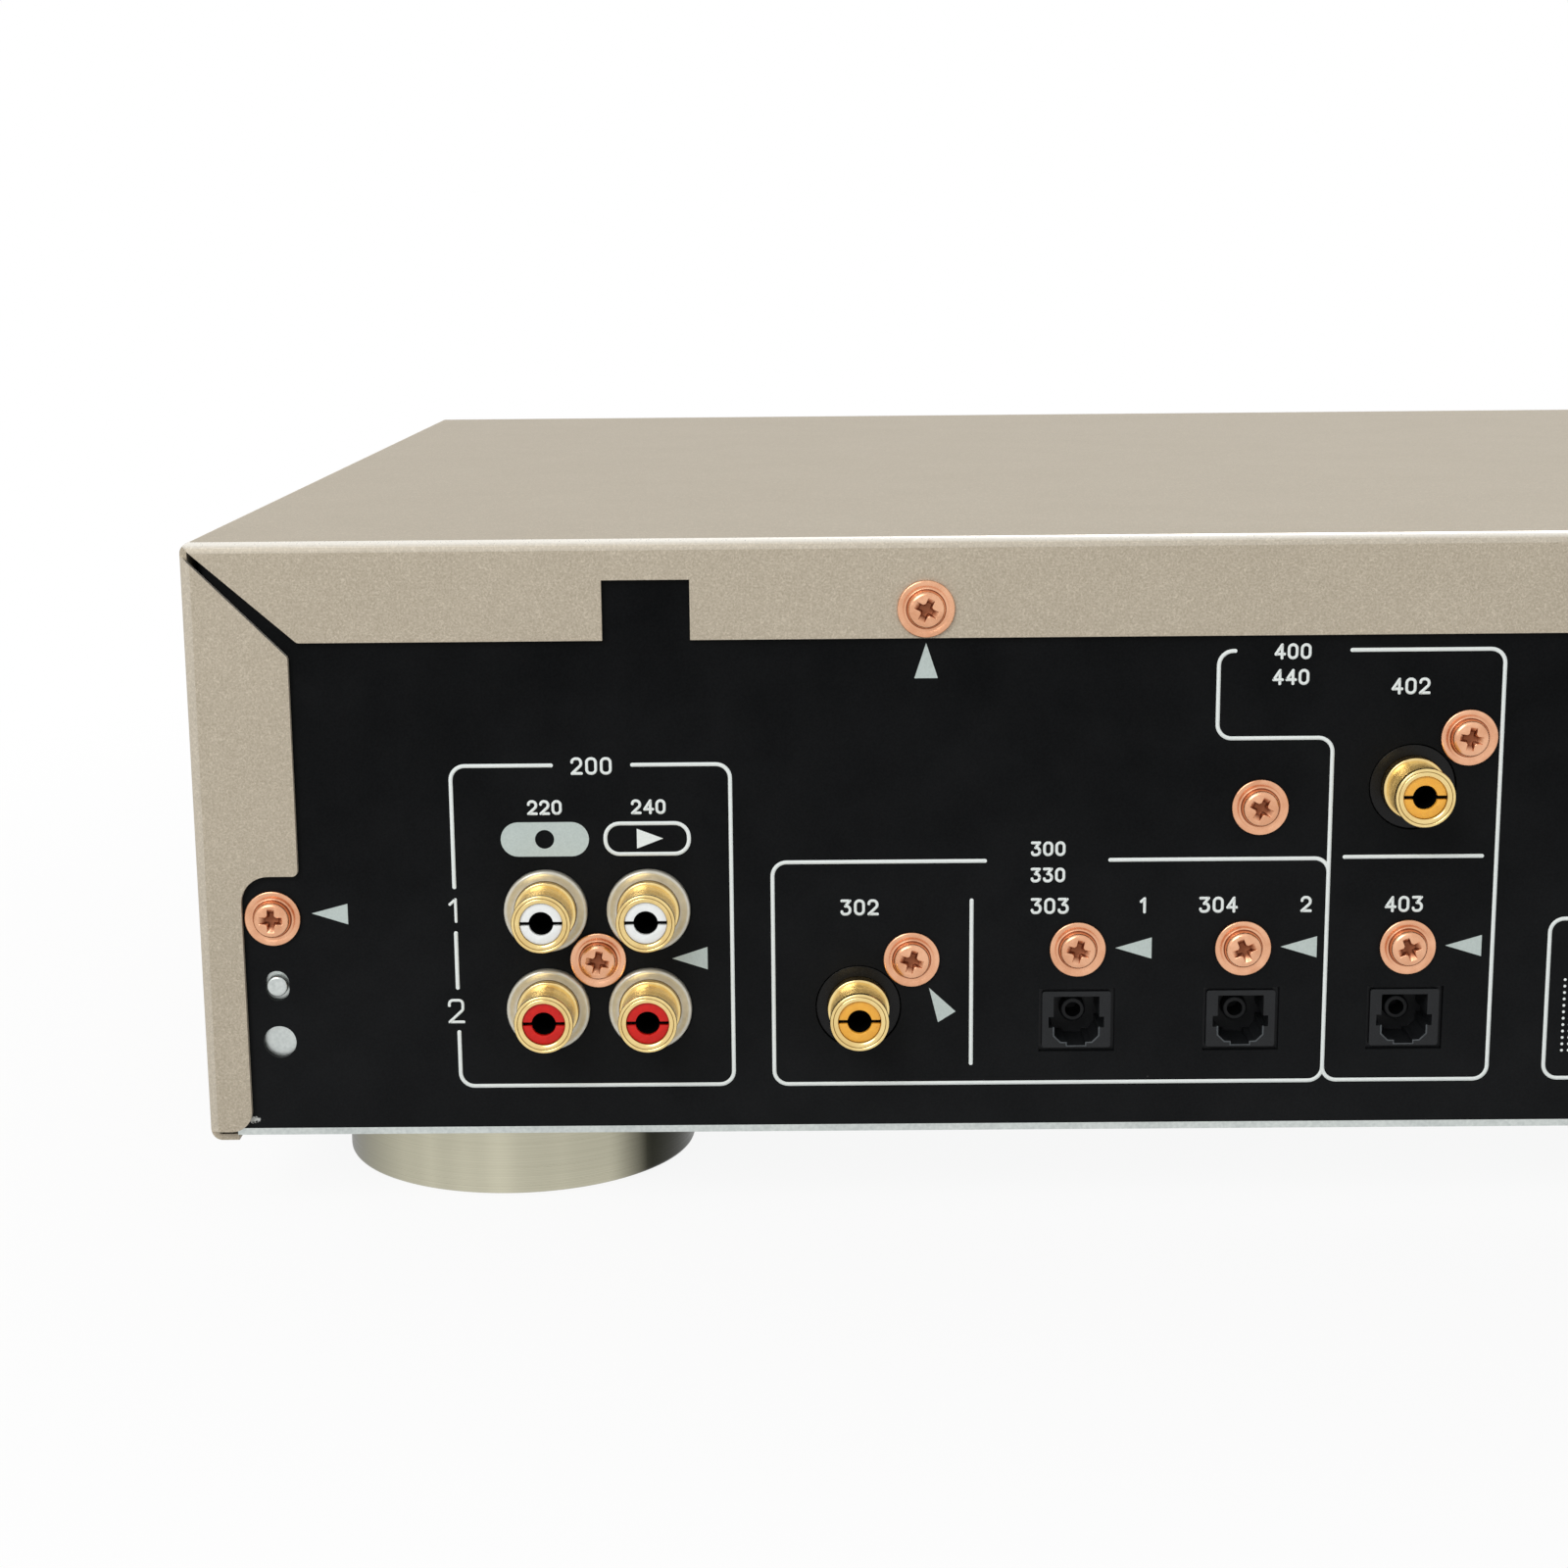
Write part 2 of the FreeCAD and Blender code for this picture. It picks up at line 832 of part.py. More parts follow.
def rear_panel():
    """Painted steel panel: a shallow pan with its rim turned forward at the top and sides."""
    z_rim = z_top - cover_sheet - nest_gap
    bend_in = panel_bend - panel_sheet
    z_below = z_foot - 2 * past
    y_edge = y_rear - panel_rim
    outer = prism([(-panel_half, z_below), (panel_half, z_below), (panel_half, z_rim, panel_bend),
                   (-panel_half, z_rim, panel_bend)], "y", y_edge, y_rear)
    outer = outer.makeFillet(panel_bend, [e for e in outer.Edges if abs(e.CenterOfMass.y - y_rear) < touch
                                          and e.CenterOfMass.z > z_below + past])
    inner = prism([(-panel_half + panel_sheet, z_below - past), (panel_half - panel_sheet, z_below - past),
                   (panel_half - panel_sheet, z_rim - panel_sheet, bend_in),
                   (-panel_half + panel_sheet, z_rim - panel_sheet, bend_in)],
                  "y", y_edge - past, y_inner)
    below = box(-half, half, y_edge - past, y_rear + past, z_below - 2 * past, z_foot)
    # the bend at the tray's own wall is cleared by a nip at each lower corner
    nip = box(panel_half - tray_bend, half, y_edge - past, y_rear + past, z_tray, z_foot + tray_bend)
    return outer.cut([inner, below, nip, mirrored(nip)] + panel_holes())


def rear_opening():
    """Region of the cover's rear wall that is open over the black panel, on one half."""
    z_flange = z_top - top_flange
    z_step = z_top - flange_step_top
    z_end = z_foot - nest_gap
    z_out = z_end - 2 * cover_lip
    x_out = half + past
    notch_start = from_side(flange_notch_start)
    notch_end = notch_start - flange_notch_width
    z_notch = z_flange + flange_notch_height
    # the mitre's slit narrows towards the case's upper corner and runs out through its bend
    near, far = 0.4 * cover_bend, 0.9 * cover_bend
    slit = [(from_side(near), z_top - near - far), (x_out, z_top - far), (x_out, z_top - near),
            (from_side(near), z_top - near)]
    points = [(-past, z_flange), (-past, z_out), (x_out, z_out), (x_out, z_end),
              (from_side(side_flange_low), z_end, flange_corner_round),
              (from_side(side_flange_low), z_step, flange_step_round),
              (from_side(side_flange), z_step, flange_round),
              (from_side(side_flange), z_flange - mitre_gap, flange_round)]
    points += slit
    points += [(from_side(side_flange + mitre_splay), z_flange, flange_round), (notch_start, z_flange),
               (notch_start, z_notch), (notch_end, z_notch), (notch_end, z_flange)]
    return prism(points, "y", y_rear - nest_gap, y_rear + cover_sheet + past)


def cover_screw_holes():
    """Holes in the cover for its own screws."""
    bore = screw_hole + cover_hole_gap
    y_out = y_rear + cover_sheet + past
    holes = [rod(x, z, bore, "y", y_rear - past, y_out) for x, z in top_screw_places()]
    for y in side_screw_places():
        holes.append(rod(y, up(side_screw_rise), bore, "x", -half - past, half + past))
    return holes


def top_cover():
    """Painted steel cover: top, sides and rear flanges from one sheet, with a folded lip below."""
    y_back = y_rear + cover_sheet
    z_split = z_foot - nest_gap
    outer = box(-half, half, y_cover_front, y_back, z_split, z_top)
    inner = box(-half + cover_sheet, half - cover_sheet, y_cover_front, y_rear,
                z_split, z_top - cover_sheet)
    outer = outer.makeFillet(cover_bend, [e for e in outer.Edges if is_bend(e, y_back, z_split, half)])
    inner = inner.makeFillet(cover_bend - cover_sheet,
                             [e for e in inner.Edges if is_bend(e, y_rear, z_split, half - cover_sheet)])
    throat = box(-half + cover_sheet, half - cover_sheet, y_cover_front, y_cover_front + cover_throat,
                 z_split, z_top - cover_sheet - cover_bend)
    hollow = inner.fuse(throat)
    shell = outer.cut(hollow)
    opening = rear_opening()
    shell = shell.cut([opening, mirrored(opening)] + cover_screw_holes())
    z_low = z_foot - nest_gap - lip_slot - cover_sheet
    lip = prism([(half, z_split), (half, z_low, cover_bend), (half - cover_lip, z_low),
                 (half - cover_lip, z_low + cover_sheet),
                 (half - cover_sheet, z_low + cover_sheet, cover_bend - cover_sheet),
                 (half - cover_sheet, z_split)], "y", y_cover_front, y_back - cover_bend)
    return one([shell, lip, mirrored(lip)])


def is_bend(edge, y_back, z_low, x_side):
    """True for the edges of the cover's block that are bends: both top sides and the whole rear rim."""
    middle = edge.CenterOfMass
    lengthwise = edge.BoundBox.YLength > cover_length / 2
    along_top_side = abs(abs(middle.x) - x_side) < touch and middle.z > z_low + past and lengthwise
    on_rear = abs(middle.y - y_back) < touch and middle.z > z_low + past
    return along_top_side and middle.z > z_low + case_height / 2 or on_rear


# ------------------------------------------------------------------ fasteners
def flanged_screw(u, v, axis, face, out):
    """A flanged pan-head screw whose flange lies on a face; out is +1 or -1 along the axis."""
    head = [(0, -screw_length), (screw_shank, -screw_length), (screw_shank, 0), (screw_flange, 0),
            (screw_flange, screw_flange_thick, screw_flange_round),
            (screw_head + screw_taper, screw_flange_thick),
            (screw_head, screw_head_high, screw_head_round), (0, screw_head_high + screw_crown)]
    screw = turned(head, 0, 0, "z")
    direction = place(0, 0, out, axis)
    spin = FreeCAD.Rotation(V(0, 0, 1), direction)
    screw.Placement = FreeCAD.Placement(place(u, v, face, axis), spin)
    return screw


def line_jack_places():
    """Centres of the four line jacks."""
    x, z = from_side(line_inset), up(line_rise)
    return [(x + i * line_pitch_x / 2, z + j * line_pitch_z / 2) for j in (1, -1) for i in (1, -1)]


def coax_places():
    """Centres of the digital input and output pin jacks."""
    return [(from_side(coax_in_inset), up(coax_in_rise)), (from_side(coax_out_inset), up(coax_out_rise))]


def jack_screw_places():
    """Screws that hold the jacks and the shelf to the rear panel."""
    places = [(from_side(line_inset), up(line_rise)), (from_side(shelf_screw_inset), up(shelf_screw_rise))]
    places += [(x - coax_screw_side, z + coax_screw_up) for x, z in coax_places()]
    places += [(from_side(inset), up(optical_rise + optical_screw_up)) for inset in optical_insets]
    return places


def corner_screw_places():
    """Screws in the step of each side flange."""
    x = from_side(corner_screw_inset)
    return [(x, up(corner_screw_rise)), (-x, up(corner_screw_rise))]


def top_screw_places():
    """Screws through the cover's top flange."""
    x = from_side(cover_screw_inset)
    return [(x, up(cover_screw_rise)), (0.0, up(cover_screw_rise)), (-x, up(cover_screw_rise))]


def panel_screws():
    """Screws on the bare panel."""
    places = jack_screw_places() + corner_screw_places()
    return group([flanged_screw(x, z, "y", y_rear, 1) for x, z in places])


def cover_screws():
    """Screws on the cover's rear flange and sides."""
    screws = [flanged_screw(x, z, "y", y_rear + cover_sheet, 1) for x, z in top_screw_places()]
    for y in side_screw_places():
        screws.append(flanged_screw(y, up(side_screw_rise), "x", half, 1))
        screws.append(flanged_screw(y, up(side_screw_rise), "x", -half, -1))
    return group(screws)


# ------------------------------------------------------------------ feet
def foot(x, y):
    """A turned aluminium cup with a boss for its screw."""
    deck = foot_height - foot_deck
    floor = pad_thick + foot_floor
    inside = foot_radius - foot_wall
    recess = pad_radius + pad_gap
    return turned([(foot_bolt + screw_clearance, deck), (foot_bolt + screw_clearance, foot_height),
                   (foot_boss, foot_height), (foot_boss, floor), (inside, floor), (inside, foot_height),
                   (foot_radius, foot_height, foot_edge), (foot_radius, pad_proud, foot_toe),
                   (recess, pad_proud),
                   (recess, pad_thick), (foot_well, pad_thick), (foot_well, deck)], x, y, "z")


def foot_pad(x, y):
    """A felt-faced rubber disc let into the cup's rim."""
    hole = foot_well + pad_gap
    return turned([(hole, 0), (pad_radius, 0, pad_edge), (pad_radius, pad_thick), (hole, pad_thick)],
                  x, y, "z")


def foot_screw(x, y):
    """The pan-head screw that holds a foot to the tray."""
    deck = foot_height - foot_deck
    tip = z_foot + foot_screw_tip
    low = deck - foot_screw_high
    return turned([(0, low), (foot_screw_head, low, foot_screw_round), (foot_screw_head, deck),
                   (foot_bolt, deck), (foot_bolt, tip), (0, tip)], x, y, "z")


# ------------------------------------------------------------------ rear sockets
def pin_jack_shell(x, z):
    """The plated barrel of a pin jack."""
    y0 = y_rear - jack_depth
    tip = y_rear + jack_reach
    root = y_rear + jack_root_reach
    return turned([(jack_bore, y0), (jack_radius, y0), (jack_radius, y_inner), (jack_root_radius, y_inner),
                   (jack_root_radius, root, jack_root_round), (jack_radius, root),
                   (jack_radius, tip, jack_tip_round), (jack_bore, tip, jack_mouth_round)], x, z, "y")


def pin_jack_insert(x, z):
    """The insulator with its pin hole and the slit across its face."""
    y0 = y_rear - jack_depth
    face = y_rear + jack_reach - jack_insert_back
    body = turned([(0, y0), (jack_bore, y0), (jack_bore, face), (jack_pin_hole, face),
                   (jack_pin_hole, y_inner), (0, y_inner)], x, z, "y")
    slit = box(x - jack_bore, x + jack_bore, face - jack_slit_deep, face + past,
               z - jack_slit / 2, z + jack_slit / 2)
    return body.cut(slit)


def line_jack_collar(x, z):
    """The pale ring around a line jack's root, standing in the panel's hole."""
    y1 = y_rear + collar_reach
    return turned([(jack_root_radius, y_inner), (collar_radius, y_inner),
                   (collar_radius, y1, collar_round), (jack_root_radius, y1)], x, z, "y")


def line_jack_block():
    """The moulded block behind the panel that carries the four line jacks."""
    x, z = from_side(line_inset), up(line_rise)
    reach = line_pitch_x / 2 + jack_block_edge
    inside = reach - jack_block_wall
    top = z + line_pitch_z / 2 + jack_block_edge
    body = prism(corners(x - reach, x + reach, z_board_top, top, moulding_round), "y",
                 y_inner - jack_block_depth, y_inner)
    bores = [rod(jx, jz, jack_radius, "y", y_rear - jack_depth, y_rear) for jx, jz in line_jack_places()]
    bores.append(rod(x, z, screw_shank, "y", y_rear - screw_length, y_rear))
    back = box(x - inside, x + inside, y_inner - jack_block_depth - past, y_inner - jack_block_front,
               z_board_top + jack_block_wall, top - jack_block_wall)
    return body.cut(bores + [back])


def coax_jack_base(x, z, z_low):
    """The black moulding of a single pin jack, with its nose in the panel's hole and a screw tab."""
    edge = x + coax_half_width
    far_edge = x - coax_screw_side - coax_tab
    tab_top = z + coax_screw_up + coax_tab
    block = prism([(edge, z_low), (edge, z + coax_half_width, moulding_round),
                   (x, tab_top, moulding_round), (far_edge, tab_top, moulding_round), (far_edge, z_low)],
                  "y", y_inner - coax_depth, y_inner)
    nose = rod(x, z, coax_nose_radius, "y", y_inner, y_rear - optical_face_back)
    bore = rod(x, z, jack_radius, "y", y_rear - jack_depth, y_rear)
    root = rod(x, z, jack_root_radius, "y", y_inner, y_rear)
    pilot = rod(x - coax_screw_side, z + coax_screw_up, screw_shank, "y", y_rear - screw_length, y_rear)
    return one([block, nose]).cut([bore, root, pilot])


def optical_mouth(x, z):
    """Outline of an optical socket's mouth: keyed at both sides and below, with cut lower corners."""
    w = optical_mouth_width / 2
    h = optical_mouth_height / 2
    k = optical_key_width / 2
    key_top = optical_key_height / 2 - optical_key_drop
    key_low = key_top - optical_key_height
    right = [(w, h), (w, key_top), (k, key_top), (k, key_low), (w, key_low), (w, -h + optical_nip),
             (w - optical_nip, -h), (optical_foot_key, -h), (optical_foot_key, -h - optical_foot_deep)]
    left = [(-u, v) for u, v in reversed(right)]
    return [(x + u, z + v) for u, v in right + left]


def optical_socket(inset):
    """A square optical socket with a fibre ferrule at the bottom of its mouth."""
    x, z = from_side(inset), up(optical_rise)
    face = y_rear - optical_face_back
    floor = face - optical_mouth_depth
    nose = plate(x, z, optical_width, optical_height, "y", y_inner, face, optical_nose_round)
    tab_top = z + optical_screw_up + optical_tab_top
    body_top = z + optical_height / 2 + optical_roof
    body = box(x - optical_body_width / 2, x + optical_body_width / 2, y_inner - optical_body_depth,
               y_inner, z_board_top, body_top)
    tab = prism([(x - optical_tab, body_top), (x + optical_tab, body_top),
                 (x + optical_tab, tab_top, optical_tab_round),
                 (x - optical_tab, tab_top, optical_tab_round)],
                "y", y_inner - optical_tab_thick, y_inner)
    mouth = prism(optical_mouth(x, z), "y", floor, face + past)
    pilot = rod(x, z + optical_screw_up, screw_shank, "y", y_rear - screw_length, y_rear)
    ferrule = turned([(optical_bore, floor), (optical_ferrule, floor),
                      (optical_ferrule, floor + optical_ferrule_long, optical_ferrule_round),
                      (optical_bore, floor + optical_ferrule_long)], x, z, "y")
    bore = rod(x, z, optical_bore, "y", floor - optical_bore_deep, floor + optical_ferrule_long / 2)
    return one([one([nose, body, tab]).cut([mouth, pilot, bore]), ferrule])


def control_jack(inset):
    """A 3.5 mm control jack held by its ring nut."""
    x, z = from_side(inset), up(control_rise)
    body = box(x - mini_body / 2, x + mini_body / 2, y_inner - mini_depth, y_inner,
               z - mini_below, z + mini_body / 2)
    neck = rod(x, z, mini_neck, "y", y_inner, y_rear)
    nut = turned([(0, y_rear), (mini_nut, y_rear), (mini_nut, y_rear + mini_nut_thick, mini_nut_round),
                  (0, y_rear + mini_nut_thick)], x, z, "y")
    bore = rod(x, z, mini_bore, "y", y_inner - mini_depth + mini_wall, y_rear + mini_nut_thick + past)
    return one([body, neck, nut]).cut(bore)


def mains_inlet():
    """A two-pole mains socket that snaps into the panel."""
    x, z = from_side(mains_inset), up(mains_rise)
    face = y_rear + mains_face_thick
    floor = face - mains_mouth_depth
    flange = plate(x, z, mains_face_width, mains_face_height, "y", y_rear, face, mains_face_round)
    body = plate(x, z, mains_mouth_width + 2 * mains_wall, mains_mouth_height + 2 * mains_wall, "y",
                 floor - mains_back, y_rear, mains_round)
    mouth = plate(x, z, mains_mouth_width, mains_mouth_height, "y", floor, face + past,
                  mains_mouth_height / 2 - touch)
    root = floor - mains_pin_root
    pins = [rod(x + side * mains_pin_pitch / 2, z, mains_pin_radius, "y", root, floor + past)
            for side in (1, -1)]
    return one([flange, body]).cut([mouth] + pins)


def mains_pins():
    """The two contact pins of the mains socket."""
    x, z = from_side(mains_inset), up(mains_rise)
    floor = y_rear + mains_face_thick - mains_mouth_depth
    root = floor - mains_pin_root
    tip = floor + mains_pin_long
    profile = [(0, root), (mains_pin_radius, root), (mains_pin_radius, tip, mains_pin_tip), (0, tip)]
    return group([turned(profile, x + side * mains_pin_pitch / 2, z, "y") for side in (1, -1)])


def corner_bracket():
    """Zinc angle behind the panel's corner, with the pin that shows through it."""
    x = from_side(pin_inset)
    x_out = panel_half - panel_sheet - corner_gap
    y_leg = y_inner - corner_sheet
    tip = y_rear + corner_pin_proud
    leg = box(x - bracket_leg / 2, x_out, y_leg, y_inner, z_foot, up(corner_leg_top))
    wing = box(x_out - corner_sheet, x_out, y_inner - corner_wing_deep, y_leg, z_foot, up(corner_wing_top))
    pin = turned([(0, y_inner), (pin_radius, y_inner), (pin_radius, tip, corner_pin_proud), (0, tip)],
                 x, up(pin_rise), "y")
    pilot = rod(from_side(corner_screw_inset), up(corner_screw_rise), screw_shank, "y",
                y_leg - past, y_rear)
    return one([leg, wing, pin]).cut(pilot)


def digital_bracket():
    """The steel shelf that carries the digital output board."""
    x0, x1 = from_side(shelf_end), from_side(shelf_start)
    z = up(shelf_rise)
    y_end = y_inner - shelf_depth
    y_tab = y_inner - shelf_sheet
    z_tab = up(shelf_screw_rise + shelf_tab)
    shelf = prism([(y_end, z), (y_inner, z, shelf_bend), (y_inner, z_tab), (y_tab, z_tab),
                   (y_tab, z + shelf_sheet, shelf_bend - shelf_sheet), (y_end, z + shelf_sheet)],
                  "x", x0, x1)
    x_jack = coax_places()[1][0]
    window = box(x_jack - shelf_window[0], x_jack + shelf_window[1], y_tab - past, y_inner + past,
                 z + shelf_bend, z_top)
    pilot = rod(from_side(shelf_screw_inset), up(shelf_screw_rise), screw_shank, "y",
                y_tab - past, y_inner + past)
    return shelf.cut([window, pilot])


# ------------------------------------------------------------------ boards and power parts
def capacitor(x, y, z, radius, height):
    """An upright electrolytic capacitor."""
    return turned([(0, z), (radius, z), (radius, z + height, capacitor_round), (0, z + height)], x, y, "z")


def main_board():
    """The audio and control board with its larger parts."""
    left, right, ahead, back = main_board_sides()
    parts = [box(left, right, ahead, back, up(board_rise), z_board_top)]
    for i in range(small_can_count):
        x = left + (i + 1) * small_can_pitch
        parts.append(capacitor(x, ahead + small_can_pitch, z_board_top, small_can_radius, small_can_high))
    for x_in, y_in, side in chips:
        x, y = left + x_in, ahead + y_in
        parts.append(box(x, x + side, y, y + side, z_board_top, z_board_top + chip_high))
    x_row = right - 2 * plug_row_long
    y_row = ahead + plug_row_wide
    parts.append(box(x_row, x_row + plug_row_long, y_row, y_row + plug_row_wide,
                     z_board_top, z_board_top + plug_row_high))
    return one(parts)


def power_board():
    """The supply board with its reservoir capacitors and finned heat sink."""
    left, right, ahead, back = power_board_sides()
    parts = [box(left, right, ahead, back, up(board_rise), z_board_top)]
    for i in range(2):
        y = ahead + large_can_inset + large_can_pitch * i
        parts.append(capacitor(right - large_can_inset, y, z_board_top, large_can_radius, large_can_high))
    z_sink = z_board_top + sink_high
    x_sink = left + sink_inset
    y_sink = ahead + sink_inset
    y_fin = y_sink + sink_base
    parts.append(box(x_sink, x_sink + sink_long, y_sink, y_fin, z_board_top, z_sink))
    for i in range(int((sink_long - sink_fin) / sink_fin_pitch) + 1):
        fin = x_sink + sink_fin_pitch * i
        parts.append(box(fin, fin + sink_fin, y_fin, y_fin + sink_fin_deep, z_board_top, z_sink))
    return one(parts)


def power_transformer():
    """A laminated core with its bobbin and a strap with two ears."""
    left = power_board_sides()[0]
    back = y_rear - transformer_rear
    y0 = back - transformer_depth
    right = left + transformer_width
    z_core = z_foot + strap_sheet
    z_high = z_foot + transformer_height
    core = box(left, right, y0 + core_inset, back - core_inset, z_core, z_high)
    coil = prism(corners(left + coil_inset, right - coil_inset, y0 + coil_end, back - coil_end, coil_round),
                 "z", z_foot + coil_rise, z_high - coil_rise)
    strap = box(left - strap_ear / 2, right + strap_ear, y0 + strap_inset, back - strap_inset,
                z_foot, z_core)
    return one([core, coil, strap])


def digital_board():
    """The small board on the shelf, under the digital output jack."""
    x0, x1 = from_side(shelf_end) + shelf_sheet, from_side(shelf_start) - shelf_sheet
    z = up(shelf_rise) + shelf_sheet
    z_can = z + board_thick
    y1 = y_inner - shelf_sheet - board_setback / 2
    x_can, y_can = x0 + can_inset, y1 - can_back
    board = box(x0, x1, y1 - shelf_depth + can_inset, y1, z, z_can)
    can = box(x_can, x_can + can_wide, y_can - can_wide, y_can, z_can, z_can + can_high)
    return one([board, can])


def ribbon(x0, x1, y_low, y_high, z_low, z_high):
    """A flat flexible cable in a gentle step from one board to the other."""
    mid = (y_low + y_high) / 2
    t = ribbon_thick
    return prism([(y_low, z_high), (mid, z_high, ribbon_bend), (mid, z_low, ribbon_bend), (y_high, z_low),
                  (y_high, z_low + t), (mid + t, z_low + t, ribbon_bend - t),
                  (mid + t, z_high + t, ribbon_bend + t), (y_low, z_high + t)], "x", x0, x1)


def ribbon_cables():
    """The cable from the front board to the main board."""
    y_end = main_board_sides()[2] + ribbon_lap
    return ribbon(ribbon_start, ribbon_start + ribbon_width, y_board + board_thick, y_end,
                  z_board_top + ribbon_low, up(ribbon_high))


# ------------------------------------------------------------------ front
def front_buttons():
    """Every push button on the front as (name, x, rise, width, height)."""
    buttons = [("power_button", power_x, power_rise, power_width, power_height),
               ("eject_button", eject_x, eject_rise, eject_width, eject_height)]
    for row, names in enumerate(transport_names):
        for column, name in enumerate(names):
            buttons.append((name, transport_x + column * transport_pitch_x,
                            transport_rise + row * transport_pitch_z, transport_width, transport_height))
    return buttons


def rotary_controls():
    """Every rotary control as (x, rise)."""
    return [(jog_x, jog_rise), (level_x, level_rise), (phones_x, phones_rise)]


def front_holes(gap, y0, y1):
    """Button, shaft, socket and switch holes through the fascia or the frame."""
    holes = []
    for _, x, rise, width, height in front_buttons():
        holes.append(plate(x, up(rise), width + 2 * gap, height + 2 * gap, "y", y0, y1, button_round + gap))
    for x, rise in rotary_controls():
        holes.append(rod(x, up(rise), shaft_hole, "y", y0, y1))
    holes.append(rod(jack_x, up(jack_rise), socket_hole, "y", y0, y1))
    holes.append(plate(timer_x, up(timer_rise), timer_width + 2 * (timer_throw + gap),
                       timer_height + 2 * gap, "y", y0, y1, timer_round + gap / 2))
    return holes


def front_panel():
    """The thick aluminium fascia."""
    z0, z1 = z_tray - fascia_below, z_top - fascia_drop
    section = [(y_fascia, z0), (y_fascia, z1, fascia_back_round), (y_front, z1, fascia_round),
               (y_front, z0, fascia_round)]
    body = prism(section, "x", -half, half)
    ends = [e for e in body.Edges if abs(abs(e.CenterOfMass.x) - half) < touch
            and abs(e.CenterOfMass.y - y_front) < touch and e.BoundBox.ZLength > case_height / 2]
    body = body.makeFillet(fascia_end_round, ends)
    bezel = bezel_block(bezel_gap, y_front - past, y_fascia + past)
    window = plate(0, up(window_rise), window_width, window_height, "y", y_front - past,
                   y_front + window_thick, window_round)
    sight = plate(0, up(window_rise), window_width - 2 * window_lip, window_height - 2 * window_lip, "y",
                  y_front, y_fascia + past, window_round - window_lip / 2)
    return body.cut([bezel, window, sight] + front_holes(button_gap, y_front - past, y_fascia + past))


def bezel_block(gap, y0, y1):
    """The slot bezel's outline as a block, grown all round by a gap."""
    return plate(0, z_slot, slot_width + 2 * (bezel_side + gap), slot_height + 2 * (bezel_rim + gap),
                 "y", y0, y1, bezel_round + gap)


def slot_bezel():
    """The moulded bezel let into the fascia, with the bevelled slot for the disc."""
    y0 = y_front + bezel_back
    slot = bevelled_cut(0, z_slot, slot_width, slot_height, y0, y_fascia + past, slot_bevel, slot_round)
    return bezel_block(0, y0, y_fascia).cut(slot)


def display_window():
    """The smoked window set flush into the fascia."""
    return plate(0, up(window_rise), window_width - 2 * window_gap, window_height - 2 * window_gap, "y",
                 y_front + window_back, y_front + window_thick, window_round)


def display_tube():
    """The flat glass display tube behind the window."""
    y1 = y_board - tube_edge
    y0 = y1 - tube_thick
    glass = plate(0, up(window_rise), tube_width, tube_height, "y", y0, y1, 2 * tube_edge)
    return glass.makeChamfer(tube_edge, [e for e in glass.Edges if abs(e.CenterOfMass.y - y0) < touch])


def door_axis():
    """Y and Z of the slot door's hinge."""
    return y_fascia + door_back + door_thick / 2, z_slot + slot_height / 2 + door_journal + door_hang


def front_frame():
    """The moulded frame behind the fascia: a ribbed pan with the door's two ears."""
    side = tray_half - frame_gap
    inside = side - frame_wall
    z0, z1 = z_foot, z_top - cover_sheet - nest_gap
    y0, y1 = y_fascia - past, y_frame_face + past
    outer = prism(corners(-side, side, z0, z1), "y", y_fascia, y_frame_back)
    inner = prism(corners(-inside, inside, z0 + frame_wall, z1 - frame_wall, frame_round),
                  "y", y_frame_face, y_frame_back + past)
    sight = plate(0, up(window_rise), tube_width + 2 * tube_room, tube_height + 2 * tube_room, "y", y0, y1)
    gate = plate(0, z_slot + door_journal, slot_width + 2 * door_gap, slot_height + gate_high, "y", y0, y1)
    pan = outer.cut([inner, sight, gate] + front_holes(button_gap, y0, y1))
    y_axis, z_axis = door_axis()
    x0 = slot_width / 2 + door_gap
    x1 = slot_width / 2 + door_lap + door_journal_long + door_edge
    ear = box(x0, x1 + ear_wall, y_fascia, y_fascia + ear_deep, z_slot - ear_low, z_axis + ear_high)
    bore = rod(y_axis, z_axis, door_journal + run_gap, "x", x0 - past, x1)
    z_rib = up(rib_rise())
    rib = box(slot_width / 2 + ear_low, inside, y_frame_face, y_frame_face + rib_deep,
              z_rib, z_rib + rib_high)
    return one([pan, ear, mirrored(ear), rib, mirrored(rib)]).cut([bore, mirrored(bore)])


def rib_rise():
    """Height of the frame's long ribs, above every button and control."""
    return jog_rise + jog_radius + rib_clear


def slot_door():
    """The flap behind the disc slot, with a journal at each end."""
    y_axis, z_axis = door_axis()
    y0, y1 = y_axis - door_thick / 2, y_axis + door_thick / 2
    wide = slot_width / 2 + door_lap
    low = z_slot - slot_height / 2 - door_lap
    flap = prism([(y0, low), (y1, low, door_edge), (y1, z_axis), (y0, z_axis)], "x", -wide, wide)
    barrel = rod(y_axis, z_axis, door_barrel, "x", -wide, wide)
    journals = rod(y_axis, z_axis, door_journal, "x", -wide - door_journal_long, wide + door_journal_long)
    grip = rod(y1, low + door_thick, door_grip, "x", door_grip_inset - wide, wide - door_grip_inset)
    return one([flap, barrel, journals, grip])


def switch_height(name):
    """Height of the switch behind a button: the power switch is a lower one with a longer travel."""
    return power_switch_high if name == "power_button" else switch_high


